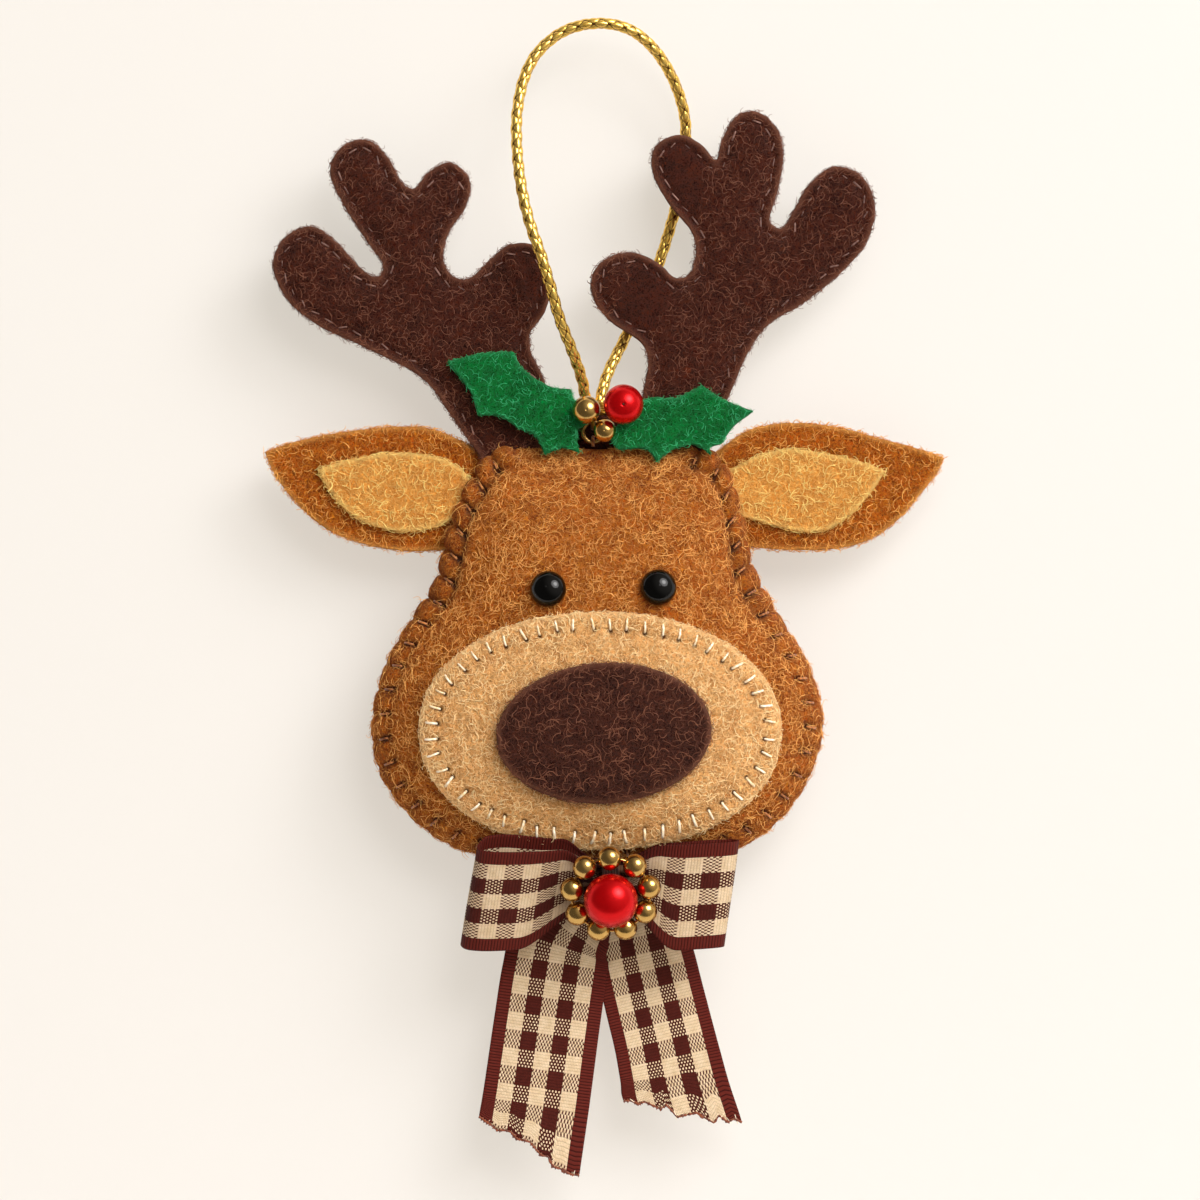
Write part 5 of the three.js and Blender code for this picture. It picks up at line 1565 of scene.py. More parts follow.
@dataclass
class FacePatches:
    """The muzzle and nose patches, which follow the head's swell, and the muzzle's stitches."""

    shape: SewnShape
    felt: float = 1.2
    gap: float = 0.45
    muzzle_size: tuple[float, float] = (54.0, 35.4)
    square: float = 2.1
    nose_centre: tuple[float, float] = (0.609, -105.5)
    nose_size: tuple[float, float] = (32.1, 21.0)
    nose_tilt: float = 3.8
    stitches: int = 52
    stitch_start: float = 0.8
    stitch_length: float = 1.5

    def oval(self, centre: tuple[float, float], size: tuple[float, float], tilt: float, square: float) -> Array:
        """Draws a squarish oval.

        Args:
            centre: its middle in the X-Z plane.
            size: its width and height.
            tilt: its turn in degrees.
            square: 2 for an ellipse, more for a squarer one.

        Returns:
            The outline.
        """
        angle = np.arange(720) / 720 * TAU
        c, s = np.cos(angle), np.sin(angle)
        across = np.sign(c) * np.abs(c) ** (2 / square) * size[0] / 2
        up = np.sign(s) * np.abs(s) ** (2 / square) * size[1] / 2
        turn = math.radians(tilt)
        return np.stack([centre[0] + across * math.cos(turn) - up * math.sin(turn),
                         centre[1] + across * math.sin(turn) + up * math.cos(turn)], axis=1)

    def middle(self, level: int) -> Callable[[Array, Array], Array]:
        """Returns the depth of the middle of the patch at a level: 1 for the muzzle, 2 for the nose."""
        lift = level * (self.felt + self.gap) - self.felt / 2
        return lambda x, z: self.shape.face(x, z) - lift

    def build(self, shop: Workshop) -> None:
        """Builds both patches, the muzzle's row of stitches and the nap.

        Args:
            shop: the materials, and what grows naps and lays stitches.
        """
        outline = even(self.oval(MUZZLE, self.muzzle_size, 0.0, self.square), 0.05, True)
        step = len(outline) / self.stitches
        at = (np.arange(self.stitches) * step + step / 2).astype(int)
        inward = -outward_normals(outline)[at]
        chance = np.random.default_rng(8)
        swing = chance.normal(0.0, 0.16, self.stitches)
        turned = np.stack([inward[:, 0] - swing * inward[:, 1], inward[:, 1] + swing * inward[:, 0]], axis=1)
        start = outline[at] + inward * (self.stitch_start + chance.normal(0, 0.08, self.stitches))[:, None]
        long = self.stitch_length * chance.uniform(0.88, 1.1, self.stitches)
        end = start + turned * long[:, None]

        def relief(x: Array, z: Array, edge: Array) -> Array:
            """Returns the puff of the muzzle's rim, with a valley at each stitch and a dent at its inner end."""
            flat = np.stack([x, z], axis=1)
            lift = 0.12 * bell(edge, 1.2, 0.8) - 0.12 * bell(edge, 3.1, 0.8)
            for a, b in zip(start, end):
                near = np.hypot(*(flat - b).T) < 5
                rel, line = flat[near] - a, b - a
                t = np.clip(rel @ line / (line @ line), 0, 1)
                gap = np.hypot(*(rel - t[:, None] * line).T)
                lift[near] -= 0.2 * bell(gap, 0.0, 0.4)
                dent = np.hypot(*(flat[near] - b - 0.24 * line / self.stitch_length).T)
                lift[near] -= 0.5 * bell(dent, 0.0, 0.32)
            return lift

        muzzle_cut = FeltCut("muzzle", outline, self.felt, self.middle(1), relief, 0.42)
        # Pits at the stitches' inner ends, which get painted shade
        muzzle_cut.pits = end + turned * 0.24
        muzzle_cut.rub = 0.25
        nose_outline = self.oval(self.nose_centre, self.nose_size, self.nose_tilt, 2.0)

        def nap() -> Array:
            """Returns the muzzle's nap, with none under the nose and less round the pits."""
            under = inside(muzzle_cut.places, nose_outline * 0.97 + np.array(self.nose_centre) * 0.03)
            near_pit = np.tile(smooth(muzzle_cut.pit_gap(muzzle_cut.places), 0.3, 0.8), 2)
            return np.where(np.tile(under, 2), 0.0, muzzle_cut.nap(1.0, 0.0, False)) * near_pit

        shop.lay(muzzle_cut, "muzzle", "tan_felt", "muzzle_panel", (0.07, 1.3, 5), nap,
                 {"muzzle_nap_1": (3.2, 1.2, 21), "muzzle_nap_2": (2.6, 0.9, 22)})
        middle = (start + end) / 2
        places = np.column_stack([middle[:, 0], self.middle(1)(*middle.T) - self.felt / 2 + 0.02, middle[:, 1]])
        slope = self.shape.normals(*middle.T)
        tips = [np.column_stack([p[:, 0], self.middle(1)(*p.T), p[:, 1]]) for p in (start, end)]
        along = tips[1] - tips[0]
        spans = np.linalg.norm(along, axis=1)
        shop.stitches.row("muzzle_stitches", "brown_thread", places, along, slope, float(spans.mean()), 0.18, 0.46,
                          0.34, shop["cream_thread"], spans / spans.mean())
        nose_cut = FeltCut("nose", nose_outline, self.felt, self.middle(2), None, 0.42)
        shop.lay(nose_cut, "nose", "dark_felt", "nose_patch", (0.06, 1.4, 6),
                 lambda: nose_cut.nap(1.0, 0.0, False), {"nose_nap": (2.4, 1.5, 23)})


@dataclass
class Eyes:
    """Two half-round black beads with a thin rim, seated along the skin's slope."""

    shape: SewnShape
    diameter: float = 5.4
    rise: float = 2.5
    rim: float = 0.35
    seat: float = 0.45
    pinhole: float = 0.02

    def build(self, shop: Workshop) -> None:
        """Builds the two beads."""
        radius = self.diameter / 2
        angle = np.linspace(0.0, np.pi / 2, 28)
        dome = np.stack([radius * np.cos(angle), self.rim + (self.rise - self.rim) * np.sin(angle)], axis=1)
        dome[-1, 0] = self.pinhole
        profile = np.vstack([[self.pinhole, 0.0], [radius - 0.15, 0.0], [radius, 0.12], dome])
        for side, (x, z) in EYES.items():
            place = np.array([x]), np.array([z])
            normal = self.shape.normals(*place)[0]
            centre = np.array([x, self.shape.face(*place)[0], z]) + normal * self.seat
            eye = lathe(f"eye_bead_{side.label}", profile, 56, normal, centre, shop["black_bead"])
            dress(eye, Body.ORNAMENT, "black_bead", f"eye_{side.label}")


@dataclass
class Ears:
    """Two ears, each an outer felt with a smaller, lighter felt on its front."""

    felt: float = 1.2
    outer: dict = field(default_factory=lambda: {
        Side.LEFT: (-50.253, -78.22, 34.8, 18.6), Side.RIGHT: (15.602, -78.07, 35.97, 19.05),
    })
    inner: dict = field(default_factory=lambda: {
        Side.LEFT: (-41.853, -75.37, 23.85, 11.85), Side.RIGHT: (17.252, -75.38, 25.61, 12.33),
    })
    bend: float = 0.5

    def build(self, shop: Workshop) -> None:
        """Builds the four felt pieces and their nap.

        Args:
            shop: the materials, and what grows naps and lays stitches.
        """
        for side in Side:
            for layer, boxes, runs, depth, finish, density, slot in (
                ("outer", self.outer, EAR_RUNS, self.felt / 2, "ear", 2.6, "brown_felt"),
                ("inner", self.inner, INNER_EAR_RUNS, -self.felt / 2, "inner_ear", 3.2, "tan_felt"),
            ):
                def middle(x: Array, z: Array, rest: float = depth) -> Array:
                    """Returns the depth of the layer, which bends back a little towards the ear's tip."""
                    return rest + self.bend * np.clip((np.abs(x) - 24.0) / 26.0, 0, 1) ** 2

                cut = FeltCut(f"ear_{layer}_{side.label}", cornered(runs[side], boxes[side], 8), self.felt, middle)
                back, under = (0.4, []) if layer == "outer" else (0.0, [f"ear_outer_{side.label}"])
                shop.lay(cut, finish, slot, f"ear_{side.label}_{layer}", (0.07, 1.4, 7),
                         lambda: cut.nap(1.0, back, False),
                         {f"ear_{layer}_nap_{side.label}": (density, 1.4, 31)})


@dataclass
class Antlers:
    """Two antlers, each of two felt layers sewn together with a running stitch inside the edge."""

    felt: float = 1.5
    boxes: dict = field(default_factory=lambda: {
        Side.LEFT: (-49.052, -67.58, 41.7, 50.93), Side.RIGHT: (-1.198, -67.27, 42.45, 54.9),
    })
    stitch_inset: float = 1.38
    stitch_pitch: float = 2.3
    stitch_length: float = 1.5
    puff: float = 0.3
    root: float = -62.0
    tongue: tuple = ((0.99, 0.215), (1.1, 0.2), (1.29, 0.185), (1.31, 0.12), (1.29, 0.075), (1.1, 0.07), (0.96, 0.05))

    def lap(self, x: Array, z: Array) -> Array:
        """Returns how far the left back layer's tongue bends back to pass behind the ring, over the head's top."""
        return 2.6 * smooth(x, -10.2, -5.6) * (1 - smooth(x, 5.8, 6.0)) * (1 - smooth(z, -57.0, -55.0))

    def relief(self, x: Array, z: Array, edge: Array) -> Array:
        """Returns the groove under the stitches and the puff inside them, less along the cord."""
        groove = -0.42 * bell(edge, self.stitch_inset, 0.4)
        return groove + self.puff * smooth(edge, 1.5, 4.0) * nap_near_cord(x, z)

    def build(self, shop: Workshop) -> None:
        """Builds the four layers, the stitches and the nap.

        Args:
            shop: the materials, and what grows naps and lays stitches.
        """
        for side in Side:
            outline = spline(shares_to_place(ANTLER_OUTLINE[side], self.boxes[side]), True, 8)
            for layer, depth, front in (("front", -self.felt / 2, True), ("back", self.felt / 2, False)):
                edge = outline
                if side is Side.LEFT and not front:
                    shares = ANTLER_OUTLINE[side][:-2] + self.tongue + ANTLER_OUTLINE[side][-2:]
                    edge = spline(shares_to_place(shares, self.boxes[side]), True, 8)
                cut = FeltCut(f"antler_{layer}_felt_{side.label}", edge, self.felt,
                              lambda x, z, rest=depth: rest + self.lap(x, z), self.relief if front else None)
                shop.lay(cut, "antler", "dark_felt", f"antler_{side.label}_{layer}", (0.07, 1.4, 9),
                         lambda: cut.nap(1.0, 0.0) if front else cut.nap(0.0, 0.35),
                         {f"antler_{layer}_nap_{side.label}": (3.0, 1.3, 41, 0.038)})
            self.sew(side, outline, shop)

    def sew(self, side: Side, outline: Array, shop: Workshop) -> None:
        """Lays the running stitch along the outline, on the front and on the back."""
        edge = even(outline, 0.1, True)
        line = edge - outward_normals(edge) * self.stitch_inset
        keep = edge_distance(line, edge) > 0.93 * self.stitch_inset
        line = even(line[keep], 0.05, True)
        count = int(len(line) * 0.05 / self.stitch_pitch)
        at = (np.arange(count) * len(line) / count).astype(int)
        chance = np.random.default_rng(12)
        for name, depth in (("front", -self.felt + 0.24), ("back", self.felt - 0.08)):
            places = line[at]
            along = np.roll(line, -6, axis=0)[at] - np.roll(line, 6, axis=0)[at]
            used = places[:, 1] > self.root
            spots = np.column_stack([places[:, 0], np.full(count, depth), places[:, 1]])[used]
            ways = np.column_stack([along[:, 0], np.zeros(count), along[:, 1]])[used]
            out = np.tile([0.0, math.copysign(1.0, depth), 0.0], (len(spots), 1))
            ways += np.cross(ways, out) * chance.normal(0.0, 0.3, (len(spots), 1))
            shop.stitches.row(f"antler_stitches_{name}_{side.label}", "brown_thread", spots, ways, out,
                              self.stitch_length, 0.13, 0.26, 0.16, shop["dusty_thread"],
                              chance.uniform(0.4, 1.0, len(spots)))


@dataclass
class Holly:
    """Two felt holly leaves that lean back over the head's top edge, and three berries."""

    felt: float = 1.2
    boxes: dict = field(default_factory=lambda: {
        Side.LEFT: (-22.88, -1.05, 21.38, 15.6), Side.RIGHT: (2.55, -2.1, 20.4, 11.55),
    })
    tilt: float = 9.0
    place: tuple[float, float, float] = (0.0, -4.35, HEAD_TOP)
    bore: float = 0.5
    pinhole: float = 0.03
    berries: tuple = (
        ("berry_red", (3.5, -7.9, -56.325), 6.0, "red_pearl", "red_pearl"),
        ("berry_gold_upper", (-2.04, -7.1, -57.125), 4.2, "plated", "gold_metal"),
        ("berry_gold_lower", (0.7, -6.3, -60.225), 3.4, "plated", "gold_metal"),
    )

    def build(self, shop: Workshop) -> None:
        """Builds the leaves with their nap, and the berries.

        Args:
            shop: the materials, and what grows naps and lays stitches.
        """
        move = Matrix.Translation(self.place) @ Matrix.Rotation(-math.radians(self.tilt), 4, "X")
        for side in Side:
            outline = cornered(LEAF_RUNS[side], self.boxes[side], 8)
            cut = FeltCut(f"holly_felt_{side.label}", outline, self.felt,
                          lambda x, z: np.full_like(x, -self.felt / 2) + 0.12 * np.sin(x / 3.1) * np.sin(z / 2.7))
            cut.rub = 0.12
            shop.lay(cut, "holly", "green_felt", f"holly_leaf_{side.label}", (0.06, 1.4, 13),
                     lambda: cut.nap(0.9, 0.0, False),
                     {f"holly_nap_{side.label}": (2.8, 1.0, 51, 0.036)}, move)
        for node, centre, diameter, finish, slot in self.berries:
            red = finish == "red_pearl"
            profile = bead_profile(diameter, 0.7 * self.bore if red else self.pinhole, 48)
            bead = lathe(node + "_bead", profile, 72, (0, 1, 0), centre, shop[finish])
            dress(bead, Body.ORNAMENT, slot, node)
            if red:
                # The sewing thread in the bore shows as a dark dot
                middle, reach = np.array(centre), np.array([0.0, diameter / 2, 0.0])
                path = np.array([middle + reach * share for share in (-0.93, -0.4, 0.4, 0.98)])
                thread = tube(node + "_thread", path, 0.34 * self.bore, 16, shop["dark_thread"])
                dress(thread, Body.ORNAMENT, slot)


@dataclass
class Ribbon:
    """A length of gingham ribbon as rows of points across its width, with thickness."""

    width: float = 15.9
    thickness: float = 0.3
    across: int = 49

    def build(self, name: str, left: Array, right: Array, normal: Array, flat_length: float, offset: Array,
              material: bpy.types.Material) -> bpy.types.Object:
        """Builds the closed ribbon between its two edge lines.

        Args:
            name: the piece's name.
            left: places along one selvedge in millimetres.
            right: places along the other selvedge.
            normal: the direction out of the front at each place along.
            flat_length: the ribbon's length before it was tied.
            offset: how far each point stands out of the flat, rows along by points across.
            material: the finish.

        Returns:
            The ribbon.
        """
        rows, share = len(left), np.linspace(0.0, 1.0, self.across)
        base = left[:, None] * (1 - share[None, :, None]) + right[:, None] * share[None, :, None]
        base = base + normal[:, None] * offset[..., None]
        along = np.gradient(base, axis=0)
        wide = np.gradient(base, axis=1)
        out = np.cross(along, wide)
        out /= np.maximum(np.linalg.norm(out, axis=2), 1e-9)[..., None]
        out *= np.sign(np.sum(out * normal[:, None], axis=2).mean())
        half = self.thickness / 2
        verts = np.vstack([(base + out * half).reshape(-1, 3), (base - out * half).reshape(-1, 3)])
        v = np.linspace(0.0, flat_length, rows)
        flat = np.stack(np.meshgrid(share * self.width, v), axis=-1).reshape(-1, 2) * MM
        r, c = np.meshgrid(np.arange(rows - 1), np.arange(self.across - 1), indexing="ij")
        a = (r * self.across + c).ravel()
        quads = np.stack([a, a + 1, a + 1 + self.across, a + self.across], axis=1)
        count = rows * self.across
        rim = np.concatenate([
            np.arange(self.across), np.arange(2, rows + 1) * self.across - 1,
            (rows - 1) * self.across + np.arange(self.across - 2, -1, -1),
            np.arange(rows - 2, 0, -1) * self.across,
        ])
        after = np.roll(rim, -1)
        walls = np.stack([after, rim, rim + count, after + count], axis=1)
        faces = np.vstack([quads, quads[:, ::-1] + count, walls])
        return outward(mesh_piece(name, verts, faces, material, np.vstack([flat, flat])))


@dataclass(frozen=True)
class LoopSize:
    """One ribbon loop of the bow, in millimetres, degrees and shares."""

    length: float
    depth: float
    rise: float
    tilt: float
    lean: float
    climb: float
    open_top: float


@dataclass(frozen=True)
class TailSize:
    """One ribbon tail of the bow, in millimetres and shares."""

    drop: float
    behind: float
    slant: float


@dataclass
class Bow:
    """The gingham bow: two loops, two tails, the whipping round its knot, a pearl and nine gold beads."""

    ribbon: Ribbon = field(default_factory=Ribbon)
    knot: tuple[float, float, float] = (1.6, -7.4, -127.5)
    knot_height: float = 6.0
    knot_tilt: float = 14.0
    loops: dict = field(default_factory=lambda: {
        Side.LEFT: LoopSize(20.8, 5.2, 6.1, 22.0, 0.14, -0.01, 0.8),
        Side.RIGHT: LoopSize(18.2, 4.6, 5.0, 6.0, 0.12, 0.06, 0.0),
    })
    tails: dict = field(default_factory=lambda: {
        Side.LEFT: TailSize(38.3, 3.2, 0.43), Side.RIGHT: TailSize(33.0, 4.15, 0.55),
    })
    gather: tuple[float, float, float] = (0.1, 0.4, 0.62)
    tail_top: float = 1.6
    wrap: tuple[float, float] = (3.3, 7.2)
    wrap_turns: int = 6
    cluster_tilt: float = 22.0
    cluster_forward: float = 5.6
    pearl: float = 8.1
    pearl_forward: float = 2.4
    bead: float = 3.6
    beads: int = 9
    bead_radius: float = 5.85
    bead_turn: float = 12.0

    def turned(self, degrees: float) -> Matrix:
        """Returns the move that turns a part about X and puts it on the knot."""
        return Matrix.Translation(self.knot) @ Matrix.Rotation(math.radians(degrees), 4, "X")

    def build(self, shop: Workshop) -> None:
        """Builds the whole bow.

        Args:
            shop: the materials, and what grows naps and lays stitches.
        """
        for side in Side:
            self.loop(side, shop)
            self.tail(side, shop)
        self.bind(shop)
        self.cluster(shop)

    def loop(self, side: Side, shop: Workshop) -> None:
        """Builds one loop: out along the back, round the open end and back along the front."""
        size, out = self.loops[side], float(side.value)
        path = np.array([(out * x * size.length, y * size.depth) for x, y in LOOP_PATH])
        path = even(spline(path, False, 16), 0.28, False)
        ahead = unit(np.gradient(path, axis=0))
        share = np.abs(path[:, 0]) / size.length
        top, low = (smooth(share, self.gather[0], end) for end in self.gather[1:])
        climb = size.climb * np.abs(path[:, 0])
        high = lerp(self.knot_height / 2, size.rise + climb, top)
        high = high + size.open_top * smooth(path[:, 1], -0.1, 1.2) * smooth(share, 0.4, 0.85)
        foot = lerp(-self.knot_height / 2, size.rise - self.ribbon.width + climb, low)
        lean = size.lean * top
        edges = [np.column_stack([path[:, 0] + lean * z, path[:, 1], z]) for z in (high, foot)]
        normal = np.column_stack([-ahead[:, 1], ahead[:, 0], np.zeros(len(path))])
        t = np.linspace(0.0, 1.0, self.ribbon.across)[None]
        near = bell(share, 0.0, 0.3)[:, None]
        run = run_of(path)
        pleats = 0.75 * near * np.sin(TAU * (2.6 * t + 0.2)) * np.sin(np.pi * t) ** 0.3
        wave = 0.16 * np.sin(run[:, None] / 4.3 + 3.0 * t) * (1 - near)
        move = self.turned(size.tilt)
        left, right = (placed(edge, move) for edge in edges)
        loop = self.ribbon.build(f"ribbon_loop_{side.label}", left, right, normal @ np.array(move.to_3x3()).T,
                                 float(run[-1]), pleats + wave, shop["gingham"])
        # Painted shade: deepest in the gathers by the knot, and a little over the whole loop
        shade = 0.18 + 0.82 * bell(share, 0.0, 0.34)
        add_value(loop, "hollow", np.tile(np.repeat(shade, self.ribbon.across), 2))
        dress(loop, Body.ORNAMENT, "gingham_ribbon", f"bow_loop_{side.label}")

    def tail(self, side: Side, shop: Workshop) -> None:
        """Builds one tail, gathered behind the knot, with a slanted cut that frays."""
        size = self.tails[side]
        table = np.array(TAIL_PATH[side])
        knot = np.array(self.knot)
        line = np.column_stack([
            knot[0] + table[:, 0] * size.drop, knot[1] + size.behind + table[:, 3] * size.drop,
            knot[2] - self.tail_top - table[:, 1] * size.drop,
        ])
        line, wide = spline(line, False, 20), spline(table[:, 1:3], False, 20)
        run = run_of(line)
        at = np.linspace(0.0, run[-1], 150)
        line = np.column_stack([np.interp(at, run, line[:, k]) for k in range(3)])
        half = np.interp(at, run, wide[:, 1]) * self.ribbon.width / 2
        ahead = unit(np.gradient(line, axis=0))
        across = unit(np.column_stack([-ahead[:, 2], np.zeros(len(at)), ahead[:, 0]]))
        normal = np.cross(across, ahead)
        normal *= -np.sign(normal[:, 1])[:, None]
        t = np.linspace(0.0, 1.0, self.ribbon.across)
        gathered = bell(at, 0.0, 7.0)[:, None]
        pleats = 0.8 * gathered * np.sin(TAU * (2.4 * t + 0.1))[None]
        curl = 0.5 * np.sin(at / 9.0 + 0.6)[:, None] * (2 * t[None] - 1) * smooth(at, 6, 20)[:, None]
        tail = self.ribbon.build(f"ribbon_tail_{side.label}", line + across * half[:, None],
                                 line - across * half[:, None], normal, float(at[-1]), pleats + curl,
                                 shop["gingham"])
        # The cut slants from one selvedge to the other and is notched thread by thread
        chance = np.random.default_rng(17 + side.value)
        notch = np.interp(t, np.linspace(0, 1, 17), chance.normal(0.0, 0.46, 17))
        slant = size.slant * (1 - 2 * t) * self.ribbon.width / 2 + notch
        share = smooth(at, at[-1] - 7.0, at[-1])
        shift = (share[:, None] * slant[None])[..., None] * ahead[:, None]
        move_points(tail, points_of(tail) + np.vstack([shift.reshape(-1, 3), shift.reshape(-1, 3)]) * MM)
        # Painted shade: deepest at the top under the knot, and a little over the whole tail
        add_value(tail, "hollow", np.tile(np.repeat(0.1 + 0.85 * bell(at, 0.0, 5.5), self.ribbon.across), 2))
        dress(tail, Body.ORNAMENT, "gingham_ribbon", f"bow_tail_{side.label}")
        # Heat has shrunk the cut threads to a rough red-brown bead, and a few threads hang out of it
        end = points_of(tail)[(len(at) - 1) * self.ribbon.across:len(at) * self.ribbon.across] / MM
        rim = np.column_stack([np.interp(np.linspace(0, 1, 120), t, end[:, k]) for k in range(3)])
        bead = tube(f"singed_edge_{side.label}", rim + 0.12 * ahead[-1], 0.12 + 0.3 * chance.random(120) ** 3, 8,
                    shop["singed_thread"])
        dress(bead, Body.ORNAMENT, "gingham_ribbon")
        pick = chance.uniform(0, 119, 12).astype(int)
        ways = ahead[-1] + chance.normal(0.0, 0.5, (12, 3))
        shop.stitches.row(f"frayed_threads_{side.label}", "gingham_ribbon", rim[pick], ways,
                          np.tile(normal[-1], (12, 1)), 1.0, 0.04, 0.05, 0.0, shop["cream_thread"],
                          chance.uniform(0.5, 1.4, 12))

    def bind(self, shop: Workshop) -> None:
        """Builds the whipping round the gathered loops and the stitch that holds it to the chin."""
        move = self.turned(self.knot_tilt)
        steps = 44
        turn = np.arange(self.wrap_turns * steps + 1) / steps
        angle = turn * TAU
        c, s = np.cos(angle), np.sin(angle)
        half_y, half_z = self.wrap[0] / 2 + 0.25, self.wrap[1] / 2 + 0.25
        path = np.column_stack([
            (turn / self.wrap_turns - 0.5) * 2.5, np.sign(c) * np.abs(c) ** 0.5 * half_y,
            np.sign(s) * np.abs(s) ** 0.5 * half_z,
        ])
        path = even(placed(path, move), 0.25, False)
        whipping = tube("knot_whipping", path, 0.25, 10, shop["dark_thread"])
        dress(whipping, Body.ORNAMENT, "brown_thread", "bow_wrap")
        start = np.array(move @ Vector((0.0, self.wrap[0] / 2 + 1.3, self.wrap[1] / 4)))
        end = np.array([self.knot[0], -2.15, -125.7])
        path = start + (end - start) * np.linspace(0, 1, 12)[:, None]
        stitch = tube("chin_stitch", path, 0.4, 16, shop["dark_thread"])
        dress(stitch, Body.ORNAMENT, "brown_thread", "bow_stitch")

    def cluster(self, shop: Workshop) -> None:
        """Builds the pearl, its ring of gold beads and the wire through them."""
        move = self.turned(self.cluster_tilt)
        spin = move.to_3x3()
        tree = Growth("ring of beads", Beads="Int", Radius="Float", Turn="Float", Bead="Object")
        given = tree.given
        circle = tree.put("GeometryNodeMeshCircle", {"Vertices": given["Beads"], "Radius": given["Radius"]})
        number = tree.put("GeometryNodeInputIndex").outputs[0]
        angle = tree.calc("MULTIPLY", number, tree.calc("DIVIDE", TAU, given["Beads"]))
        spun = tree.put("ShaderNodeCombineXYZ", {0: math.pi / 2, 2: angle})
        single = tree.put("GeometryNodeObjectInfo", {"Object": given["Bead"], "As Instance": True})
        laid = tree.put("GeometryNodeInstanceOnPoints", {
            "Points": circle.outputs[0], "Instance": single.outputs["Geometry"], "Rotation": spun.outputs[0],
        })
        turn = tree.put("ShaderNodeCombineXYZ", {2: given["Turn"]})
        whole = tree.put("GeometryNodeTransform", {"Geometry": laid.outputs[0], "Rotation": turn.outputs[0]})
        tree.end(whole.outputs[0])
        bead = lathe("one_bead", bead_profile(self.bead, 0.9, 30), 44, (0, 0, 1), (0, 0, 0), shop["plated"])
        source = mesh_piece("bead_ring_source", [(0, 0, 0)], [], shop["plated"])
        ring = tree.grow("bead_ring", source, Beads=self.beads, Radius=self.bead_radius * MM,
                         Turn=math.radians(self.bead_turn), Bead=bead, Material=shop["plated"])
        bpy.data.objects.remove(bead, do_unlink=True)
        # The ring is made flat on X-Y; it is stood up to face the viewer, then turned and put on the knot
        stand = Matrix.Translation((0, -self.cluster_forward, 0)) @ Matrix.Rotation(math.pi / 2, 4, "X")
        whole = Matrix.Translation(Vector(self.knot) * MM) @ spin.to_4x4() @ Matrix.Translation(
            Vector((0, -self.cluster_forward, 0)) * MM) @ Matrix.Rotation(math.pi / 2, 4, "X")
        ring.data.transform(whole)
        ring.data.update()
        dress(ring, Body.ORNAMENT, "gold_metal", *[f"bow_bead_{i + 1}" for i in range(self.beads)])
        angle = np.arange(10) / 10 * TAU
        profile = np.column_stack([self.bead_radius + 0.2 * np.cos(angle), 0.2 * np.sin(angle)])
        centre = np.array((move @ stand).translation)
        axis = spin @ Vector((0, -1, 0))
        wire = lathe("bead_ring_wire", profile, 90, axis, centre, shop["plated"])
        dress(wire, Body.ORNAMENT, "gold_metal", "bead_wire")
        centre = np.array(move @ Vector((0, -self.cluster_forward - self.pearl_forward, 0)))
        pearl = lathe("red_pearl", bead_profile(self.pearl, 0.5, 60), 96, (1, 0, 0), centre, shop["red_pearl"])
        dress(pearl, Body.ORNAMENT, "red_pearl", "bow_pearl")


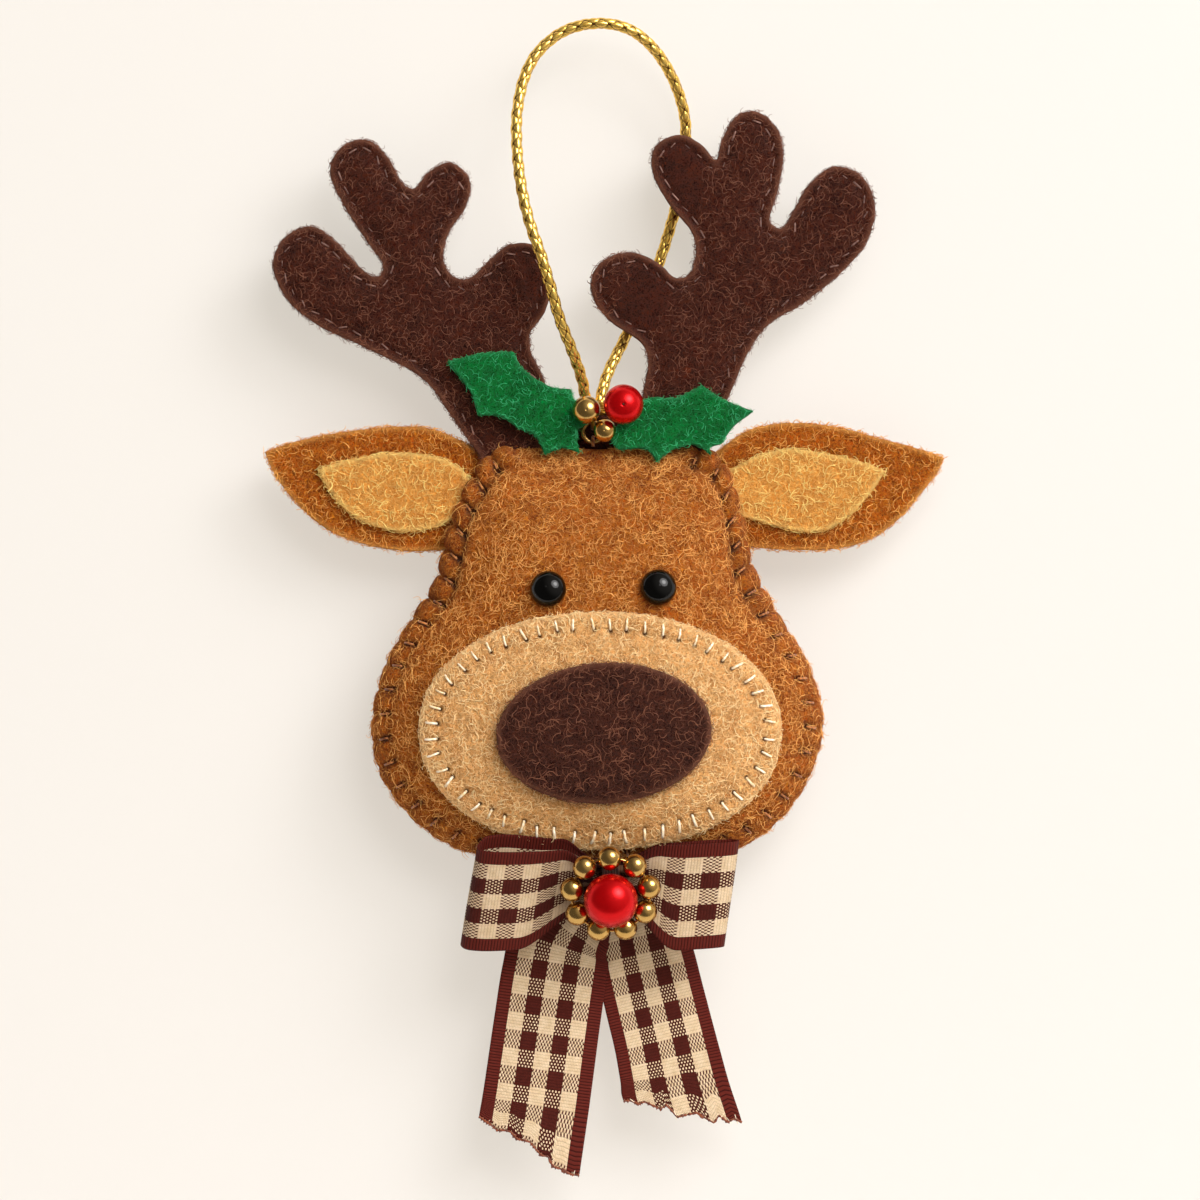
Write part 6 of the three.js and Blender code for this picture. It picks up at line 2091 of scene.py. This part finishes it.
@dataclass
class Hanger:
    """The braided gold cord, the thread that binds its ends, the link thread, the jump ring and the tie thread."""

    diameter: float = 1.8
    strands: int = 3
    strand_pitch: float = 2.35
    braid_height: float = 0.2
    middle: float = -1.05
    binding_low: float = -58.0
    binding_height: float = 2.2
    ring_top: float = -58.875
    ring_radius: float = 1.55
    ring_wire: float = 0.75
    link: float = 0.7
    link_half: float = 1.15
    tie: float = 0.5
    tie_half: float = 0.85

    def braid(self, run: Array, angle: Array) -> Array:
        """Works out the braid's height, from 0 in a groove to 1 on a facet.

        Args:
            run: places along the cord in millimetres.
            angle: places round the cord.

        Returns:
            The height at each place.
        """
        turn = angle / TAU * self.strands
        a, b = turn + run / self.strand_pitch, turn - run / self.strand_pitch
        fa, fb = 2 * np.mod(a, 1.0) - 1, 2 * np.mod(b, 1.0) - 1
        return np.sqrt(np.clip((1 - fa**2) * (1 - fb**2), 0, 1))

    def build(self, shop: Workshop) -> None:
        """Builds everything that the ornament hangs from."""
        path = even(spline(CORD_ROUTE, False, 24), 0.1, False)
        base = self.diameter / 2 - self.braid_height
        cord = tube("braided_cord", path, base, 40, shop["braid"],
                    lambda run, angle: self.braid_height * self.braid(run, angle))
        run = run_of(path)
        values = self.braid(run[:, None], np.arange(40)[None] / 40 * TAU)
        add_value(cord, "braid", np.concatenate([values.ravel(), [0.3, 0.3]]))
        dress(cord, Body.LOOP, "gold_cord", "hanging_cord")
        LOG.info("cord length %.1f mm", run[-1])
        self.threads(shop)
        angle = np.linspace(math.radians(4), math.radians(356), 120)
        centre = self.ring_top - self.ring_radius
        path = np.column_stack([self.middle + self.ring_radius * np.cos(angle), np.zeros(120),
                                centre + self.ring_radius * np.sin(angle)])
        ring = tube("split_jump_ring", path, self.ring_wire / 2, 24, shop["plated"])
        dress(ring, Body.RING, "gold_metal", "jump_ring")

    def threads(self, shop: Workshop) -> None:
        """Builds the wound binding, the link thread and the tie thread."""
        turns, steps = 5, 40
        share = np.arange(turns * steps + 1) / (turns * steps)
        angle = share * turns * TAU
        c = np.cos(angle)
        path = np.column_stack([
            self.middle + 1.1 * np.clip(c * 3, -1, 1) + 1.42 * c, 1.42 * np.sin(angle),
            self.binding_low + 0.22 + share * (self.binding_height - 0.44),
        ])
        path = even(path, 0.15, False)
        binding = tube("end_binding", path, 0.22, 12, shop["gold_thread"])
        dress(binding, Body.LOOP, "gold_cord", "cord_binding")
        link_top, ring_low = self.binding_low - 0.15, self.ring_top - 2 * self.ring_radius
        low = self.ring_top - self.ring_wire / 2 - 0.2 - self.link / 2
        high = ring_low + self.ring_wire / 2 + 0.2 + self.tie / 2
        for name, half, ends, turn, tip, size, body, node in (
            ("ring_link_thread", self.link_half, link_top, self.ring_top, low, self.link, Body.LOOP, "link_thread"),
            ("ring_tie", self.tie_half, HEAD_TOP + 0.3, ring_low, high, self.tie, Body.ORNAMENT,
             "ring_tie_thread"),
        ):
            bend = lerp(turn, tip, math.sqrt(0.5))
            points = [(-half, ends), (-half, turn), (-half * math.sqrt(0.5), bend), (0, tip),
                      (half * math.sqrt(0.5), bend), (half, turn), (half, ends)]
            path = even(spline([(self.middle, y, z) for y, z in points], False, 12), 0.1, False)
            finish = "gold_thread" if body is Body.LOOP else "brown_thread"
            thread = tube(name, path, size / 2, 14, shop[finish])
            dress(thread, body, "gold_cord" if body is Body.LOOP else "brown_thread", node)


def main() -> None:
    """Builds the room and the ornament, piece by piece."""
    logging.basicConfig(level=logging.INFO, format="%(message)s")
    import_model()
    shop = Workshop()
    Room().build()
    Hanger().build(shop)
    shape = SewnShape()
    for part in (Head(shape), FacePatches(shape), Eyes(shape), Ears(), Antlers(), Holly(), Bow()):
        part.build(shop)
        LOG.info("%s done", type(part).__name__)


if __name__ == "__main__":
    main()
